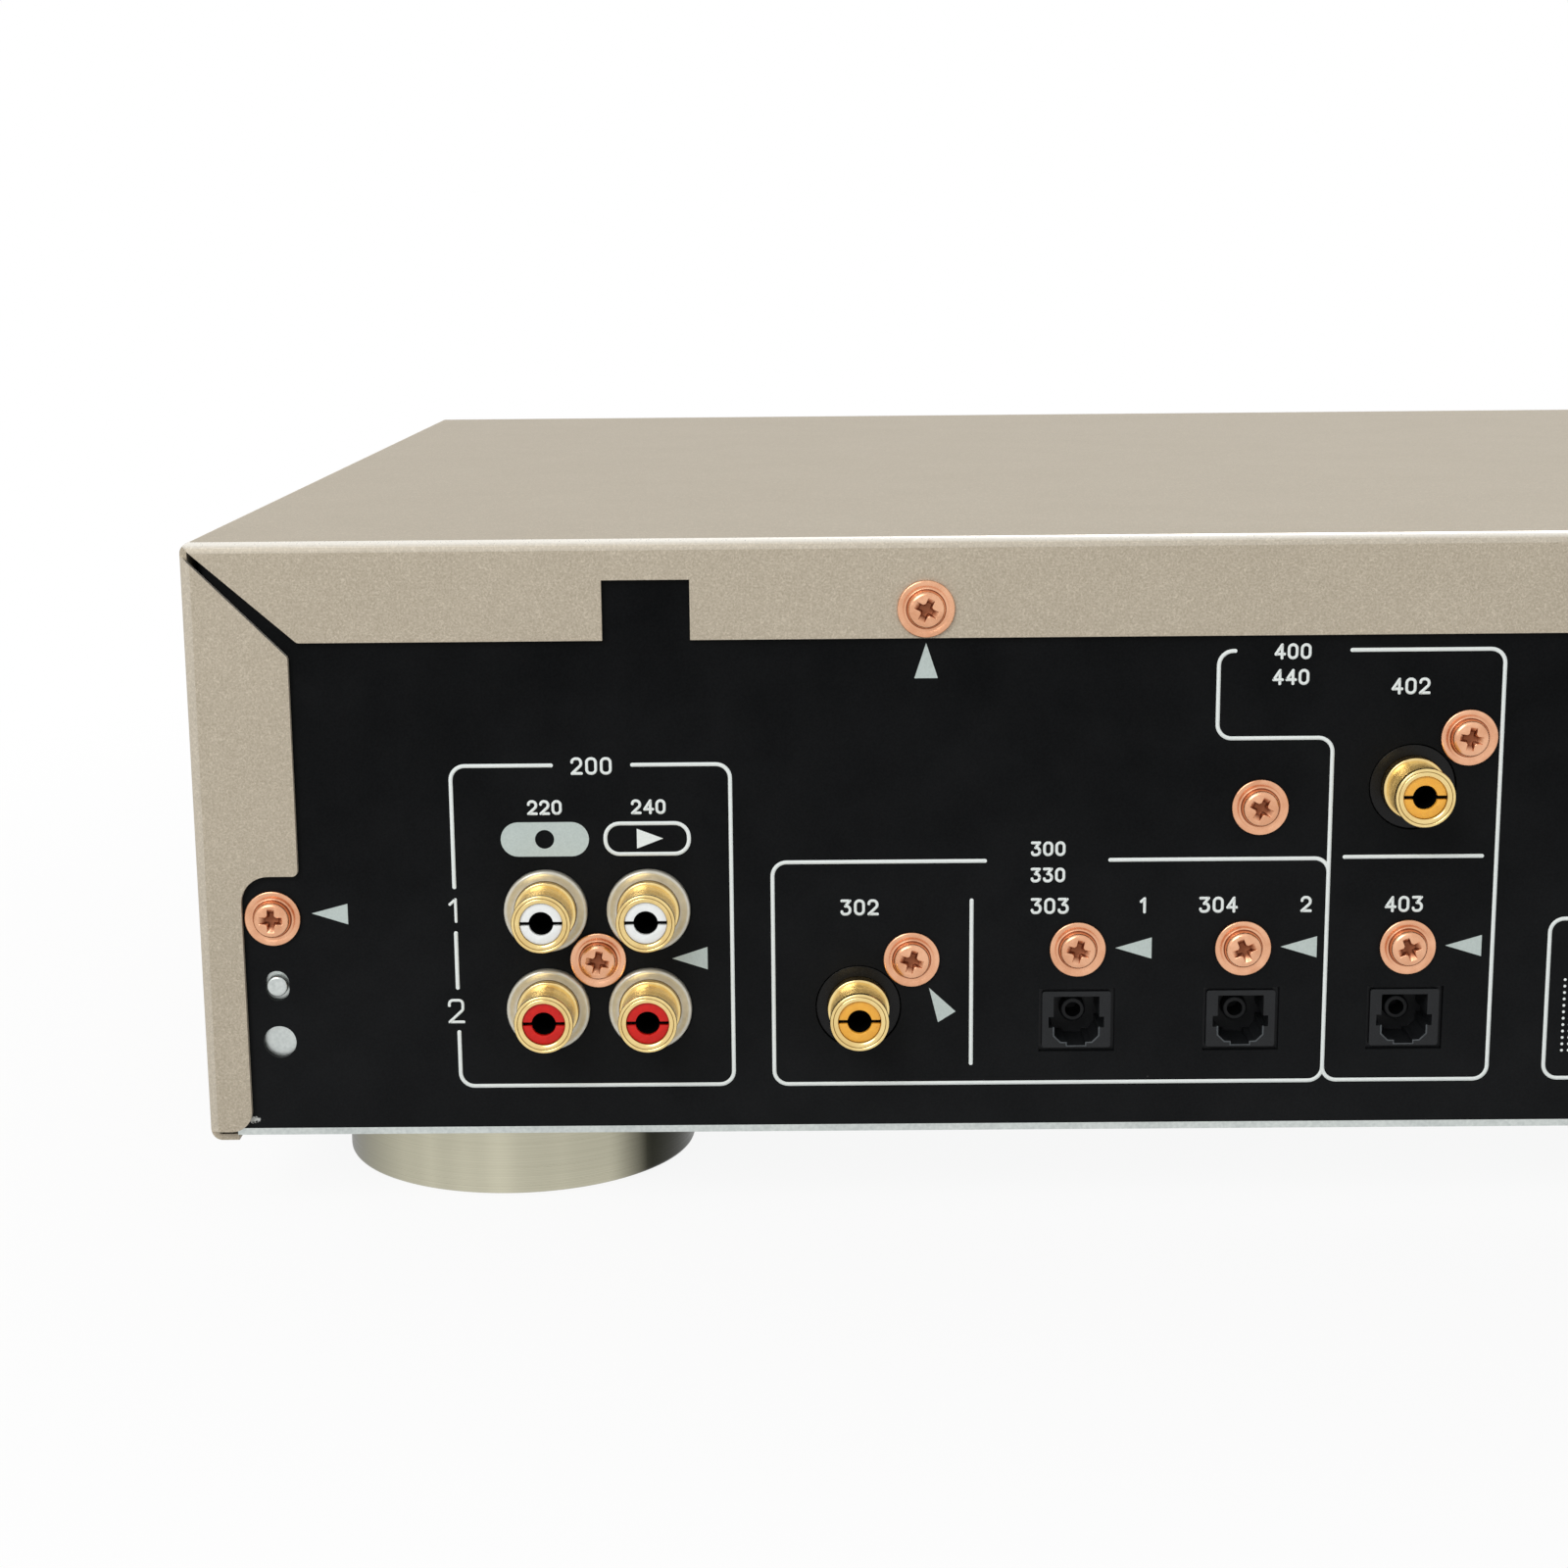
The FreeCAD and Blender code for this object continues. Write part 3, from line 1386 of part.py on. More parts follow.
def push_button(name, x, rise, width, height):
    """A push button: crowned cap, retaining lip behind the frame, and plunger."""
    travel = power_travel if name == "power_button" else key_travel
    z = up(rise)
    y0 = y_front - button_proud
    y_lip = y_frame_face
    cap = plate(x, z, width, height, "y", y0, y_lip, button_round)
    cap = cap.makeFillet(button_crown, [e for e in cap.Edges if abs(e.CenterOfMass.y - y0) < touch])
    lip = plate(x, z, width + 2 * button_lip, height + 2 * button_lip, "y", y_lip, y_lip + button_flange,
                button_round)
    y_end = y_board - switch_height(name) - travel - button_slack
    plunger = rod(x, z, plunger_radius, "y", y_lip + button_flange, y_end)
    return one([cap, lip, plunger])


def knob(x, rise, radius, reach, waist):
    """A turned knob on its shaft."""
    z = up(rise)
    y0 = y_front - reach
    y_back = y_front - knob_clear
    y_dish = y0 + knob_dish
    y_hollow = y_back - knob_skirt
    y_end = y_board - shaft_end
    return turned([(0, y_dish), (radius * knob_dish_share, y_dish), (radius - knob_rim, y0),
                   (radius - knob_taper, y0, knob_round), (radius, y_back, knob_back_round),
                   (waist, y_back), (waist, y_hollow), (shaft_radius, y_hollow),
                   (shaft_radius, y_end), (0, y_end)], x, z, "y")


def jog_dial():
    """The large dial with a finger dimple."""
    dial = knob(jog_x, jog_rise, jog_radius, jog_reach, jog_radius - jog_waist)
    y0 = y_front - jog_reach
    above = math.sqrt(jog_ball ** 2 - jog_dimple ** 2)
    ball = Part.makeSphere(jog_ball, V(jog_x, y0 - above, up(jog_rise) + jog_dimple_offset))
    return dial.cut(ball)


def pointer_knob(x, rise, radius, reach):
    """A level knob with a pointer groove from its rim inwards."""
    body = knob(x, rise, radius, reach, radius - pointer_waist)
    y0 = y_front - reach
    groove = box(x - pointer_width / 2, x + pointer_width / 2, y0 - past, y0 + pointer_deep,
                 up(rise) + radius * pointer_start, up(rise) + radius + past)
    return body.cut(groove)


def timer_switch_knob():
    """The slide switch's finger piece."""
    z = up(timer_rise)
    y0 = y_front - timer_proud
    y_shoe = y_frame_face + timer_shoe_gap
    y_end = y_board - timer_case_thick - run_gap
    stem = plate(timer_x, z, timer_width, timer_height, "y", y0, y_end, timer_round)
    shoe = plate(timer_x, z, timer_width + 2, timer_height + 2, "y", y_shoe, y_shoe + timer_shoe)
    ridges = [plate(timer_x + i * timer_ridge_pitch, z, timer_ridge, timer_height + 2 * past, "y",
                    y0 - past, y0 + timer_ridge_deep) for i in (-1, 0, 1)]
    return one([stem, shoe]).cut(ridges)


def front_board():
    """The board behind the front frame, with its switches and rotary controls."""
    side = tray_half - frame_wall - board_gap
    z0 = up(frame_wall + frame_round)
    z_shoulder = z_slot + board_step
    z_low = z_slot - slot_height / 2 - board_step
    gap = slot_width / 2 + board_step
    points = [(-side, z0), (side, z0), (side, z_shoulder), (gap, z_shoulder),
              (gap, z_low, board_notch_round), (-gap, z_low, board_notch_round),
              (-gap, z_shoulder), (-side, z_shoulder)]
    parts = [prism(points, "y", y_board, y_board + board_thick)]
    for name, x, rise, _, _ in front_buttons():
        y_stem = y_board - switch_height(name)
        y_case = y_stem + switch_stem_high
        parts.append(plate(x, up(rise), switch_width, switch_width, "y", y_case, y_board))
        parts.append(rod(x, up(rise), switch_stem, "y", y_stem, y_case))
    y_control = y_board - control_long
    y_floor = y_board - shaft_end + case_floor
    width = 2 * control_body
    for x, rise in rotary_controls():
        case = plate(x, up(rise), width, width, "y", y_control, y_board, moulding_round)
        bore = rod(x, up(rise), shaft_radius + run_gap, "y", y_control - past, y_floor)
        parts.append(case.cut(bore))
    parts.append(plate(timer_x, up(timer_rise), timer_case_width, timer_case_height, "y",
                       y_board - timer_case_thick, y_board))
    socket = plate(jack_x, up(jack_rise), socket_body + 2 * button_gap, socket_body + 2 * button_gap, "y",
                   y_board - past, y_board + board_thick + past)
    return one(parts).cut(socket)


def headphone_jack():
    """The 6.3 mm socket with its ring nut in the fascia."""
    x, z = jack_x, up(jack_rise)
    face = y_front - socket_nut_proud
    y_case = y_frame_face + socket_neck
    nut = turned([(socket_bore, face), (socket_nut, face, socket_nut_round), (socket_nut, y_case),
                  (socket_bore, y_case)], x, z, "y")
    y_end = face + socket_depth + socket_wall
    body = plate(x, z, socket_body, socket_body, "y", y_case, y_end, moulding_round)
    bore = rod(x, z, socket_bore, "y", face - past, face + socket_depth)
    return one([nut, body]).cut(bore)


# ------------------------------------------------------------------ minidisc mechanism
def mech(station):
    """Y of a station measured back from the mechanism's front edge."""
    return y_mech + station


def holder_half():
    """Half the width inside the disc holder."""
    return disc_width / 2 + disc_gap


def holder_pin_z():
    """Height of the holder's lift pins at rest."""
    return z_slot


def cartridge_holder():
    """The sheet cage that takes the cartridge and sinks with it onto the turntable."""
    w = holder_half()
    h = disc_thick / 2 + disc_gap
    t = holder_sheet
    y0, y1 = mech(holder_start), mech(holder_start + holder_length)
    outer = corners(-w - t, w + t, z_slot - h - t, z_slot + h + t, holder_round)
    inner = corners(-w, w, z_slot - h, z_slot + h, holder_inner_round)
    cage = prism(outer, "y", y0, y1)
    width, length, back = holder_floor_window
    floor_window = plate(0, mech(disc_centre + back), width, length, "z", z_slot - h - t - past, z_slot,
                         holder_window_round)
    width, length, back = holder_roof_window
    roof_window = plate(0, mech(disc_centre + back), width, length, "z", z_slot, z_slot + h + t + past,
                        holder_window_round)
    cage = cage.cut([prism(inner, "y", y0 - past, y1 + past), floor_window, roof_window])
    reach = slider_inner + slider_wall + pin_reach
    pins = []
    for station in pin_stations:
        pins.append(rod(mech(station), holder_pin_z(), lift_pin, "x", w + t / 2, reach))
        pins.append(rod(mech(station), holder_pin_z(), lift_pin, "x", -reach, -w - t / 2))
    return one([cage] + pins)


def slot_outline(y, z, dy, dz, radius):
    """A straight slot with round ends from (y, z) to (y + dy, z + dz), pushed later along X."""
    long = math.hypot(dy, dz)
    uy, uz = dy / long, dz / long
    ny, nz = -uz, uy
    a = (y - uy * radius, z - uz * radius)
    b = (y + dy + uy * radius, z + dz + uz * radius)
    r = radius - touch
    return [(a[0] + ny * radius, a[1] + nz * radius, r), (b[0] + ny * radius, b[1] + nz * radius, r),
            (b[0] - ny * radius, b[1] - nz * radius, r), (a[0] - ny * radius, a[1] - nz * radius, r)]


def gear_x():
    """X of the loading gear's axle: one pitch radius inside the rack's pitch line."""
    return slider_inner - dedendum * gear_module - gear_module * gear_teeth / 2


def sled_gear_x():
    """X of the sled gear's axle."""
    pitch_line = -(sled_width / 2 + rack_bar + dedendum * sled_module)
    return pitch_line - sled_module * sled_teeth / 2


def guide_x():
    """X of the posts that guide the slider, on the right."""
    return slider_inner + slider_wall + guide_offset


def loading_slider():
    """The slide that runs back to lower the holder: rack on the right, a ramp slot for each pin."""
    z0 = z_plate + slider_float
    z1 = z0 + slider_thick
    y0, y1 = mech(slider_start), mech(slider_start + slider_length)
    x0, x1 = slider_inner, slider_inner + slider_strip
    strips = [box(x0, x1, y0, y1, z0, z1), box(-x1, -x0, y0, y1, z0, z1),
              box(-x0, x0, y1 - slider_tie, y1, z0, z1)]
    wall_top = holder_pin_z() + slider_wall_high
    z_wall = z1 - slider_thick / 2
    y_tail = y1 - slider_tail
    wall = prism([(y0, z_wall), (y_tail, z_wall), (y_tail, z1 + slider_tail_high, slider_round),
                  (mech(pin_stations[1]) + slider_tail_high, wall_top, slider_round),
                  (y0, wall_top, slider_round)], "x", x0, x0 + slider_wall)
    walls = [wall, mirrored(wall)]
    body = one(strips + walls)
    gap = lift_pin + pin_gap
    cuts = []
    for station in pin_stations:
        ramp = slot_outline(mech(station), holder_pin_z(), -load_travel, -lift_travel, gap)
        ramp_cut = prism(ramp, "x", x0 - past, x0 + slider_wall + past)
        cuts += [ramp_cut, mirrored(ramp_cut)]
    wide = 2 * (post_radius + guide_gap)
    for station in post_stations:
        guide = plate(guide_x(), mech(station) - load_travel / 2, wide,
                      load_travel + 2 * (post_radius + guide_room), "z", z0 - past, z1 + past,
                      wide / 2 - touch)
        cuts += [guide, mirrored(guide)]
    teeth = rack_teeth(gear_module, x0, mech(gear_station), rack_start, rack_end, z0, z1)
    return body.cut(cuts).fuse(teeth)


def rack_teeth(module, root_x, y_mesh, first, last, z0, z1):
    """Rack teeth that point left from a root line, spaced about a tooth space centred at y_mesh."""
    pitch = math.pi * module
    slope = math.tan(math.radians(pressure_angle))
    half_tip = pitch / 4 - module * slope - backlash / 4
    half_root = pitch / 4 + dedendum * module * slope - backlash / 4
    tip_x = root_x - (1 + dedendum) * module
    sunk_x = root_x + module / 2
    lowest = math.floor(first / pitch)
    teeth = []
    for i in range(lowest, lowest + int((last - first) / pitch)):
        y = y_mesh + (i + 0.5) * pitch
        tooth = [(sunk_x, y - half_root), (root_x, y - half_root), (tip_x, y - half_tip),
                 (tip_x, y + half_tip), (root_x, y + half_root), (sunk_x, y + half_root)]
        teeth.append(prism(tooth, "z", z0, z1))
    return teeth


def gear_face(module, teeth, x, y, z):
    """Outline of a spur gear with one tooth pointing along +X, flanks as arcs of the involute."""
    pitch_r = module * teeth / 2
    angle = math.radians(pressure_angle)
    base_r = pitch_r * math.cos(angle)
    root_r = pitch_r - dedendum * module
    tip_r = pitch_r + module
    middle_r = (base_r + tip_r) / 2
    half_base = math.pi / (2 * teeth) - backlash / (4 * pitch_r) + math.tan(angle) - angle
    step = 2 * math.pi / teeth

    def spot(radius, side, turn):
        """A point of one flank; below the base circle the flank runs straight in."""
        roll = math.acos(min(1.0, base_r / radius))
        around = turn + side * (half_base - math.tan(roll) + roll)
        return V(x + radius * math.cos(around), y + radius * math.sin(around), z)

    edges = []
    for i in range(teeth):
        turn = i * step
        low0, base0, mid0, tip0 = [spot(r, -1, turn) for r in (root_r, base_r, middle_r, tip_r)]
        low1, base1, mid1, tip1 = [spot(r, 1, turn) for r in (root_r, base_r, middle_r, tip_r)]
        edges.append(Part.LineSegment(low0, base0).toShape())
        edges.append(Part.Arc(base0, mid0, tip0).toShape())
        edges.append(Part.LineSegment(tip0, tip1).toShape())
        edges.append(Part.Arc(tip1, mid1, base1).toShape())
        edges.append(Part.LineSegment(base1, low1).toShape())
        edges.append(Part.LineSegment(low1, spot(root_r, -1, turn + step)).toShape())
    return Part.Face(Part.Wire(edges))


def spur_gear(module, teeth, x, station, z0, thick):
    """A spur gear with its hub, turning on a fixed axle."""
    y = mech(station)
    wheel = gear_face(module, teeth, x, y, z0).extrude(V(0, 0, thick))
    z_hub = z0 + thick + gear_hub_high
    hub = rod(x, y, axle_radius + gear_hub, "z", z0, z_hub)
    bore = rod(x, y, axle_radius + run_gap, "z", z0 - past, z_hub + past)
    return one([wheel, hub]).cut(bore)


def mech_plate():
    """The steel base of the mechanism: floor, pin guides, posts, axles and the arm's bracket."""
    z0, z1 = z_plate - mech_sheet, z_plate
    w = mech_width / 2
    parts = [prism(corners(-w, w, mech(0), mech(mech_length), slider_round), "z", z0, z1)]
    z_ear = holder_pin_z() + ear_top
    for station in pin_stations:
        y = mech(station)
        ear = prism([(y - ear_half, z0), (y + ear_half, z0), (y + ear_half, z_ear, ear_round),
                     (y - ear_half, z_ear, ear_round)], "x", ear_inner, ear_inner + mech_sheet)
        guide = slot_outline(y, holder_pin_z(), 0, -lift_travel, lift_pin + pin_gap)
        ear = ear.cut(prism(guide, "x", ear_inner - past, ear_inner + mech_sheet + past))
        parts += [ear, mirrored(ear)]
    z_post = z1 + slider_float + slider_thick + post_cap
    for station in post_stations:
        post = rod(guide_x(), mech(station), post_radius, "z", z0, z_post)
        parts += [post, mirrored(post)]
    parts.append(rod(gear_x(), mech(gear_station), axle_radius, "z", z0, z1 + axle_high))
    parts.append(rod(sled_gear_x(), mech(sled_gear_station), axle_radius, "z", z0, z1 + sled_axle_high))
    for station in (rod_start, rod_end):
        block = box(rod_x - rod_block, rod_x + rod_block, mech(station - rod_block), mech(station),
                    z0, z1 + rod_rise + rod_block)
        parts += [block, mirrored(block)]
    y_end = mech(mech_length)
    z_pivot = z1 + arm_pivot_rise
    z_high = z_pivot + pivot_ear_room
    parts.append(box(-pivot_post_half, pivot_post_half, y_end - mech_sheet, y_end, z0, z_high))
    x_ear = arm_width / 2 + arm_gap
    y_ear = mech(arm_pivot_station) - pivot_ear_room
    y_back = y_end - pivot_ear_back
    ear = prism([(y_ear, z1 + pivot_ear_low), (y_back, z1 + pivot_ear_low), (y_back, z_high),
                 (y_ear, z_high, ear_round)], "x", x_ear, x_ear + mech_sheet)
    parts += [ear, mirrored(ear)]
    bore = rod(rod_x, z1 + rod_rise, rod_radius, "y", mech(rod_start - rod_block) - past,
               mech(rod_end) + past)
    pivot_bore = rod(mech(arm_pivot_station), z_pivot, arm_pivot_radius, "x", -w, w)
    spindle_hole = rod(0, mech(disc_centre), axle_radius + spindle_gap, "z", z0 - past, z1 + past)
    return one(parts).cut([bore, mirrored(bore), pivot_bore, spindle_hole])


def guide_rods():
    """The pickup's two rods and the head arm's pivot pin."""
    rods = [rod(x, z_plate + rod_rise, rod_radius, "y", mech(rod_start - rod_block), mech(rod_end))
            for x in (rod_x, -rod_x)]
    reach = arm_width / 2 + arm_gap + mech_sheet + pivot_pin_proud
    z_pivot = z_plate + arm_pivot_rise
    rods.append(rod(mech(arm_pivot_station), z_pivot, arm_pivot_radius, "x", -reach, reach))
    return group(rods)


def drive_motors():
    """The spindle, loading and sled motors under the plate."""
    top = z_plate - mech_sheet
    low = top - motor_high
    bearing = axle_radius + run_gap
    places = [(0, disc_centre), (gear_x(), gear_station),
              (sled_gear_x(), sled_gear_station + sled_motor_back)]
    profile = [(0, low), (motor_radius, low, motor_round), (motor_radius, top), (bearing, top),
               (bearing, top - spindle_deep), (0, top - spindle_deep)]
    return group([turned(profile, x, mech(station), "z") for x, station in places])


def mech_dampers():
    """Four rubber bushes between the mechanism and its bracket."""
    top = z_plate - mech_sheet
    low = top - damper_high
    profile = [(damper_bore, low), (damper_radius, low),
               (damper_radius - damper_waist, (low + top) / 2, damper_round),
               (damper_radius, top), (damper_bore, top)]
    return group([turned(profile, x, mech(station), "z") for x in (damper_x, -damper_x)
                  for station in (damper_inset, mech_length - damper_inset)])


def mech_bracket():
    """Two Z-section steel rails that carry the mechanism over the tray."""
    top = z_plate - mech_sheet - damper_high
    t = bracket_sheet
    x_foot = bracket_x + bracket_foot
    x_lap = damper_x - bracket_lap
    bend_in = bracket_bend - t
    rail = prism([(x_foot, z_foot), (x_foot, z_foot + t), (bracket_x + t, z_foot + t, bend_in),
                  (bracket_x + t, top, bracket_bend), (x_lap, top), (x_lap, top - t),
                  (bracket_x, top - t, bend_in), (bracket_x, z_foot, bracket_bend)],
                 "y", mech(bracket_inset), mech(mech_length - bracket_inset))
    window = plate(mech(mech_length / 2), (z_foot + top) / 2, mech_length - 2 * bracket_window_inset,
                   (top - z_foot) / 2, "x", bracket_x - past, bracket_x + t + past, bracket_window_round)
    rail = rail.cut(window)
    return group([rail, mirrored(rail)])


def turntable():
    """The spindle and its hub, which centres the disc."""
    low = z_plate + turntable_low
    seat = low + turntable_thick
    top = z_plate + turntable_top
    base = z_plate - mech_sheet - spindle_deep + spindle_end
    return turned([(0, base), (axle_radius, base), (axle_radius, low),
                   (turntable_radius, low, turntable_round), (turntable_radius, seat, turntable_edge),
                   (hub_low, seat), (hub_high, top, hub_round), (0, top)], 0, mech(disc_centre), "z")


def pickup_sled():
    """The optical pickup on its two rods, with a rack on its left side."""
    y = mech(sled_start)
    w = sled_width / 2
    z0, z1 = z_plate + sled_low, z_plate + sled_high
    z_rack = z0 + rack_high
    body = plate(0, y, sled_width, sled_length, "z", z0, z1, sled_round)
    lens = turned([(0, z1 - lens_seat), (lens_radius + lens_seat, z1 - lens_seat),
                   (lens_radius + lens_seat, z1), (lens_radius, z1),
                   (lens_radius, z1 + lens_high, lens_round), (0, z1 + lens_high)], 0, y, "z")
    root = -w - rack_bar
    bar = box(root, past - w, y - rack_half, y + rack_half, z0, z_rack)
    bore = rod(rod_x, z_plate + rod_rise, rod_radius + run_gap, "y", y - sled_length, y + sled_length)
    body = one([body, bar, lens]).cut([bore, mirrored(bore)])
    shift = sled_gear_station - sled_start
    teeth = rack_teeth(sled_module, root, mech(sled_gear_station), past - rack_half - shift,
                       rack_half - shift - past, z0, z_rack)
    return body.fuse(teeth)


def head_arm():
    """The arm over the holder that carries the recording head and sinks with it."""
    z = z_plate + arm_pivot_rise
    y_pivot, y_tip = mech(arm_pivot_station), mech(arm_tip_station)
    y_wide, y_neck = mech(arm_neck_start), mech(arm_neck_end)
    w, v = arm_width / 2, arm_tip_half
    z0, z1 = z - arm_sheet / 2, z + arm_sheet / 2
    blade = prism([(-w, y_pivot), (w, y_pivot), (w, y_wide, arm_round), (v, y_neck, arm_round),
                   (v, y_tip, arm_tip_round), (-v, y_tip, arm_tip_round), (-v, y_neck, arm_round),
                   (-w, y_wide, arm_round)], "z", z0, z1)
    boss = rod(y_pivot, z, arm_boss, "x", -w, w)
    pad = plate(0, y_tip + v, head_pad_width, head_pad_length, "z", z0 - head_pad, z0, moulding_round)
    rail = box(w - arm_rail, w, mech(arm_rail_station), y_pivot, z, z + arm_rail_high)
    bore = rod(y_pivot, z, arm_pivot_radius + run_gap, "x", -w - past, w + past)
    return one([blade, boss, pad, rail, mirrored(rail)]).cut(bore)


# ------------------------------------------------------------------ all nodes
def build():
    """Make and write every node."""
    os.makedirs("parts", exist_ok=True)
    lines = line_jack_places()
    coax_in, coax_out = coax_places()
    nodes = {
        "chassis_tray": chassis_tray(),
        "rear_panel": rear_panel(),
        "top_cover": top_cover(),
        "front_panel": front_panel(),
        "slot_bezel": slot_bezel(),
        "front_frame": front_frame(),
        "display_window": display_window(),
        "display_tube": display_tube(),
        "front_board": front_board(),
        "headphone_jack": headphone_jack(),
        "main_board": main_board(),
        "power_board": power_board(),
        "power_transformer": power_transformer(),
        "digital_bracket": digital_bracket(),
        "digital_board": digital_board(),
        "line_jack_block": line_jack_block(),
        "line_jack_collars": group([line_jack_collar(x, z) for x, z in lines]),
        "line_jack_shells": group([pin_jack_shell(x, z) for x, z in lines]),
        "line_jack_inserts_white": group([pin_jack_insert(x, z) for x, z in lines[:2]]),
        "line_jack_inserts_red": group([pin_jack_insert(x, z) for x, z in lines[2:]]),
        "coax_jack_bases": group([coax_jack_base(*coax_in, z_board_top),
                                  coax_jack_base(*coax_out, up(shelf_rise) + shelf_sheet + board_thick)]),
        "coax_jack_shells": group([pin_jack_shell(x, z) for x, z in coax_places()]),
        "coax_jack_inserts": group([pin_jack_insert(x, z) for x, z in coax_places()]),
        "optical_inputs": group([optical_socket(inset) for inset in optical_insets[:2]]),
        "optical_output": optical_socket(optical_insets[2]),
        "control_jacks": group([control_jack(inset) for inset in control_insets]),
        "mains_inlet": mains_inlet(),
        "mains_pins": mains_pins(),
        "panel_screws": panel_screws(),
        "cover_screws": cover_screws(),
        "feet": group([foot(x, y) for x, y in foot_places()]),
        "foot_pads": group([foot_pad(x, y) for x, y in foot_places()]),
        "foot_screws": group([foot_screw(x, y) for x, y in foot_places()]),
        "corner_brackets": group([corner_bracket(), mirrored(corner_bracket())]),
        "ribbon_cables": ribbon_cables(),
        "mech_bracket": mech_bracket(),
        "mech_dampers": mech_dampers(),
        "mech_plate": mech_plate(),
        "drive_motors": drive_motors(),
        "guide_rods": guide_rods(),
        "slot_door": slot_door(),
        "cartridge_holder": cartridge_holder(),
        "loading_slider": loading_slider(),
        "loading_gear": spur_gear(gear_module, gear_teeth, gear_x(), gear_station, z_plate + gear_float,
                                  gear_thick),
        "head_arm": head_arm(),
        "turntable": turntable(),
        "pickup_sled": pickup_sled(),
        "sled_gear": spur_gear(sled_module, sled_teeth, sled_gear_x(), sled_gear_station,
                               z_plate + sled_gear_low, gear_thick),
        "jog_dial": jog_dial(),
        "record_level_knob": pointer_knob(level_x, level_rise, level_radius, level_reach),
        "phones_level_knob": pointer_knob(phones_x, phones_rise, phones_radius, phones_reach),
        "timer_switch_knob": timer_switch_knob(),
    }
    for button in front_buttons():
        nodes[button[0]] = push_button(*button)
    for name, shape in nodes.items():
        save(name, shape)


build()
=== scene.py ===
# %% [markdown]
# # Dressing a minidisc deck
# The deck comes from CAD as named, finished solids. This lesson gives them their looks: painted
# sheet metal, a printed panel, plated jacks, copper screws, a brushed fascia and its controls.
# Everything is in metres and already in place, so nothing here is moved or fitted by eye. The
# default cube, lamp and camera are removed first, because they would count as pieces of the deck.

# %% Load the frame
import bpy
import bmesh
import json
import math
from mathutils import Matrix, Vector

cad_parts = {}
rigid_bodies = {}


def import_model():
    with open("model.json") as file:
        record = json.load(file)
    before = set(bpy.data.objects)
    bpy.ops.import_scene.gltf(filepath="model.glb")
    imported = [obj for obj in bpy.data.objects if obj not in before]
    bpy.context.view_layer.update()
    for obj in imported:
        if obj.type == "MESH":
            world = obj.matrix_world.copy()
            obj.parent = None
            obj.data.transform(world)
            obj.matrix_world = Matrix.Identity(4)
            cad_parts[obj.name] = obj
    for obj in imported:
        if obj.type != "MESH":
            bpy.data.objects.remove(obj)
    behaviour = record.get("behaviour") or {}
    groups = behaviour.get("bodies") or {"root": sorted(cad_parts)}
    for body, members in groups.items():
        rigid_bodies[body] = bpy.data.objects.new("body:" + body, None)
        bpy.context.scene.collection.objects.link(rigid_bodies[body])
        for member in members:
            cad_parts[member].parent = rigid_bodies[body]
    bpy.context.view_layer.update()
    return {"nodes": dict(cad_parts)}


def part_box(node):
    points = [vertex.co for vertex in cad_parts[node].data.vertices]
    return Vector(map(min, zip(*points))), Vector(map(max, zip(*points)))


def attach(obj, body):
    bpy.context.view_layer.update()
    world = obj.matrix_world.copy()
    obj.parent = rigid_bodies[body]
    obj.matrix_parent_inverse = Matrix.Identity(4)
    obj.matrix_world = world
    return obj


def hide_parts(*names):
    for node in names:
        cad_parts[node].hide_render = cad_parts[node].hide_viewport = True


for leftover in list(bpy.data.objects):
    bpy.data.objects.remove(leftover)
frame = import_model()
nodes = frame["nodes"]

# %% [markdown]
# The rear panel carries most of what is seen. Places on it could be typed in as points of space,
# but a maker's drawing gives millimetres in from the case's side and up from the panel's foot, and
# so does this lesson. The frame supplies the faces that those millimetres start from, so the
# print moves with the panel if the solids change.

# %% Name the faces that everything is measured from
MM = 0.001
SIDE_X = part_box("top_cover")[1].x
PANEL_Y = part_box("rear_panel")[1].y
PANEL_FOOT_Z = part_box("rear_panel")[0].z
FASCIA_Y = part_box("front_panel")[0].y

OUT = Vector((0, 1, 0))
TO_REAR = Matrix(((-1, 0, 0), (0, 0, 1), (0, 1, 0)))
TO_FRONT = Matrix(((1, 0, 0), (0, 0, -1), (0, 1, 0)))


def on_panel(inset, rise):
    """A point of the rear panel's face, in from the case's side and up from the panel's foot."""
    return Vector((SIDE_X - inset * MM, PANEL_Y, PANEL_FOOT_Z + rise * MM))


def facing(turn, point):
    """The placing matrix of something drawn flat, looked at along its own Z."""
    return Matrix.Translation(point) @ turn.to_4x4()


REAR_SHEET = facing(TO_REAR, on_panel(0, 0))
print("rear panel's face at y =", round(PANEL_Y / MM, 2), "mm")

# %% [markdown]
# The camera stands behind the deck, a little over a third of a metre from the panel and slightly
# above it, with a lens of about 60 mm. A camera without perspective would keep the cover's edges
# parallel. Here the place and the lens matter, since they set how strongly the top narrows
# towards the front.

# %% Set up the camera
LENS = 60.0943
CAMERA_AT = (0.131672, 0.500062, 0.137355)
CAMERA_TURN = (78.48116, 0.52838, -179.68631)


def added(name, data):
    """An object in the scene that carries a mesh, a lamp or a camera."""
    made = bpy.data.objects.new(name, data)
    bpy.context.scene.collection.objects.link(made)
    return made


camera = added("camera", bpy.data.cameras.new("camera"))
camera.data.sensor_width = 36.0
camera.data.lens = LENS
camera.location = CAMERA_AT
camera.rotation_euler = [math.radians(angle) for angle in CAMERA_TURN]
bpy.context.scene.camera = camera
bpy.context.scene.view_settings.view_transform = "Standard"
print("camera to panel:", round((camera.location.y - PANEL_Y) / MM), "mm")

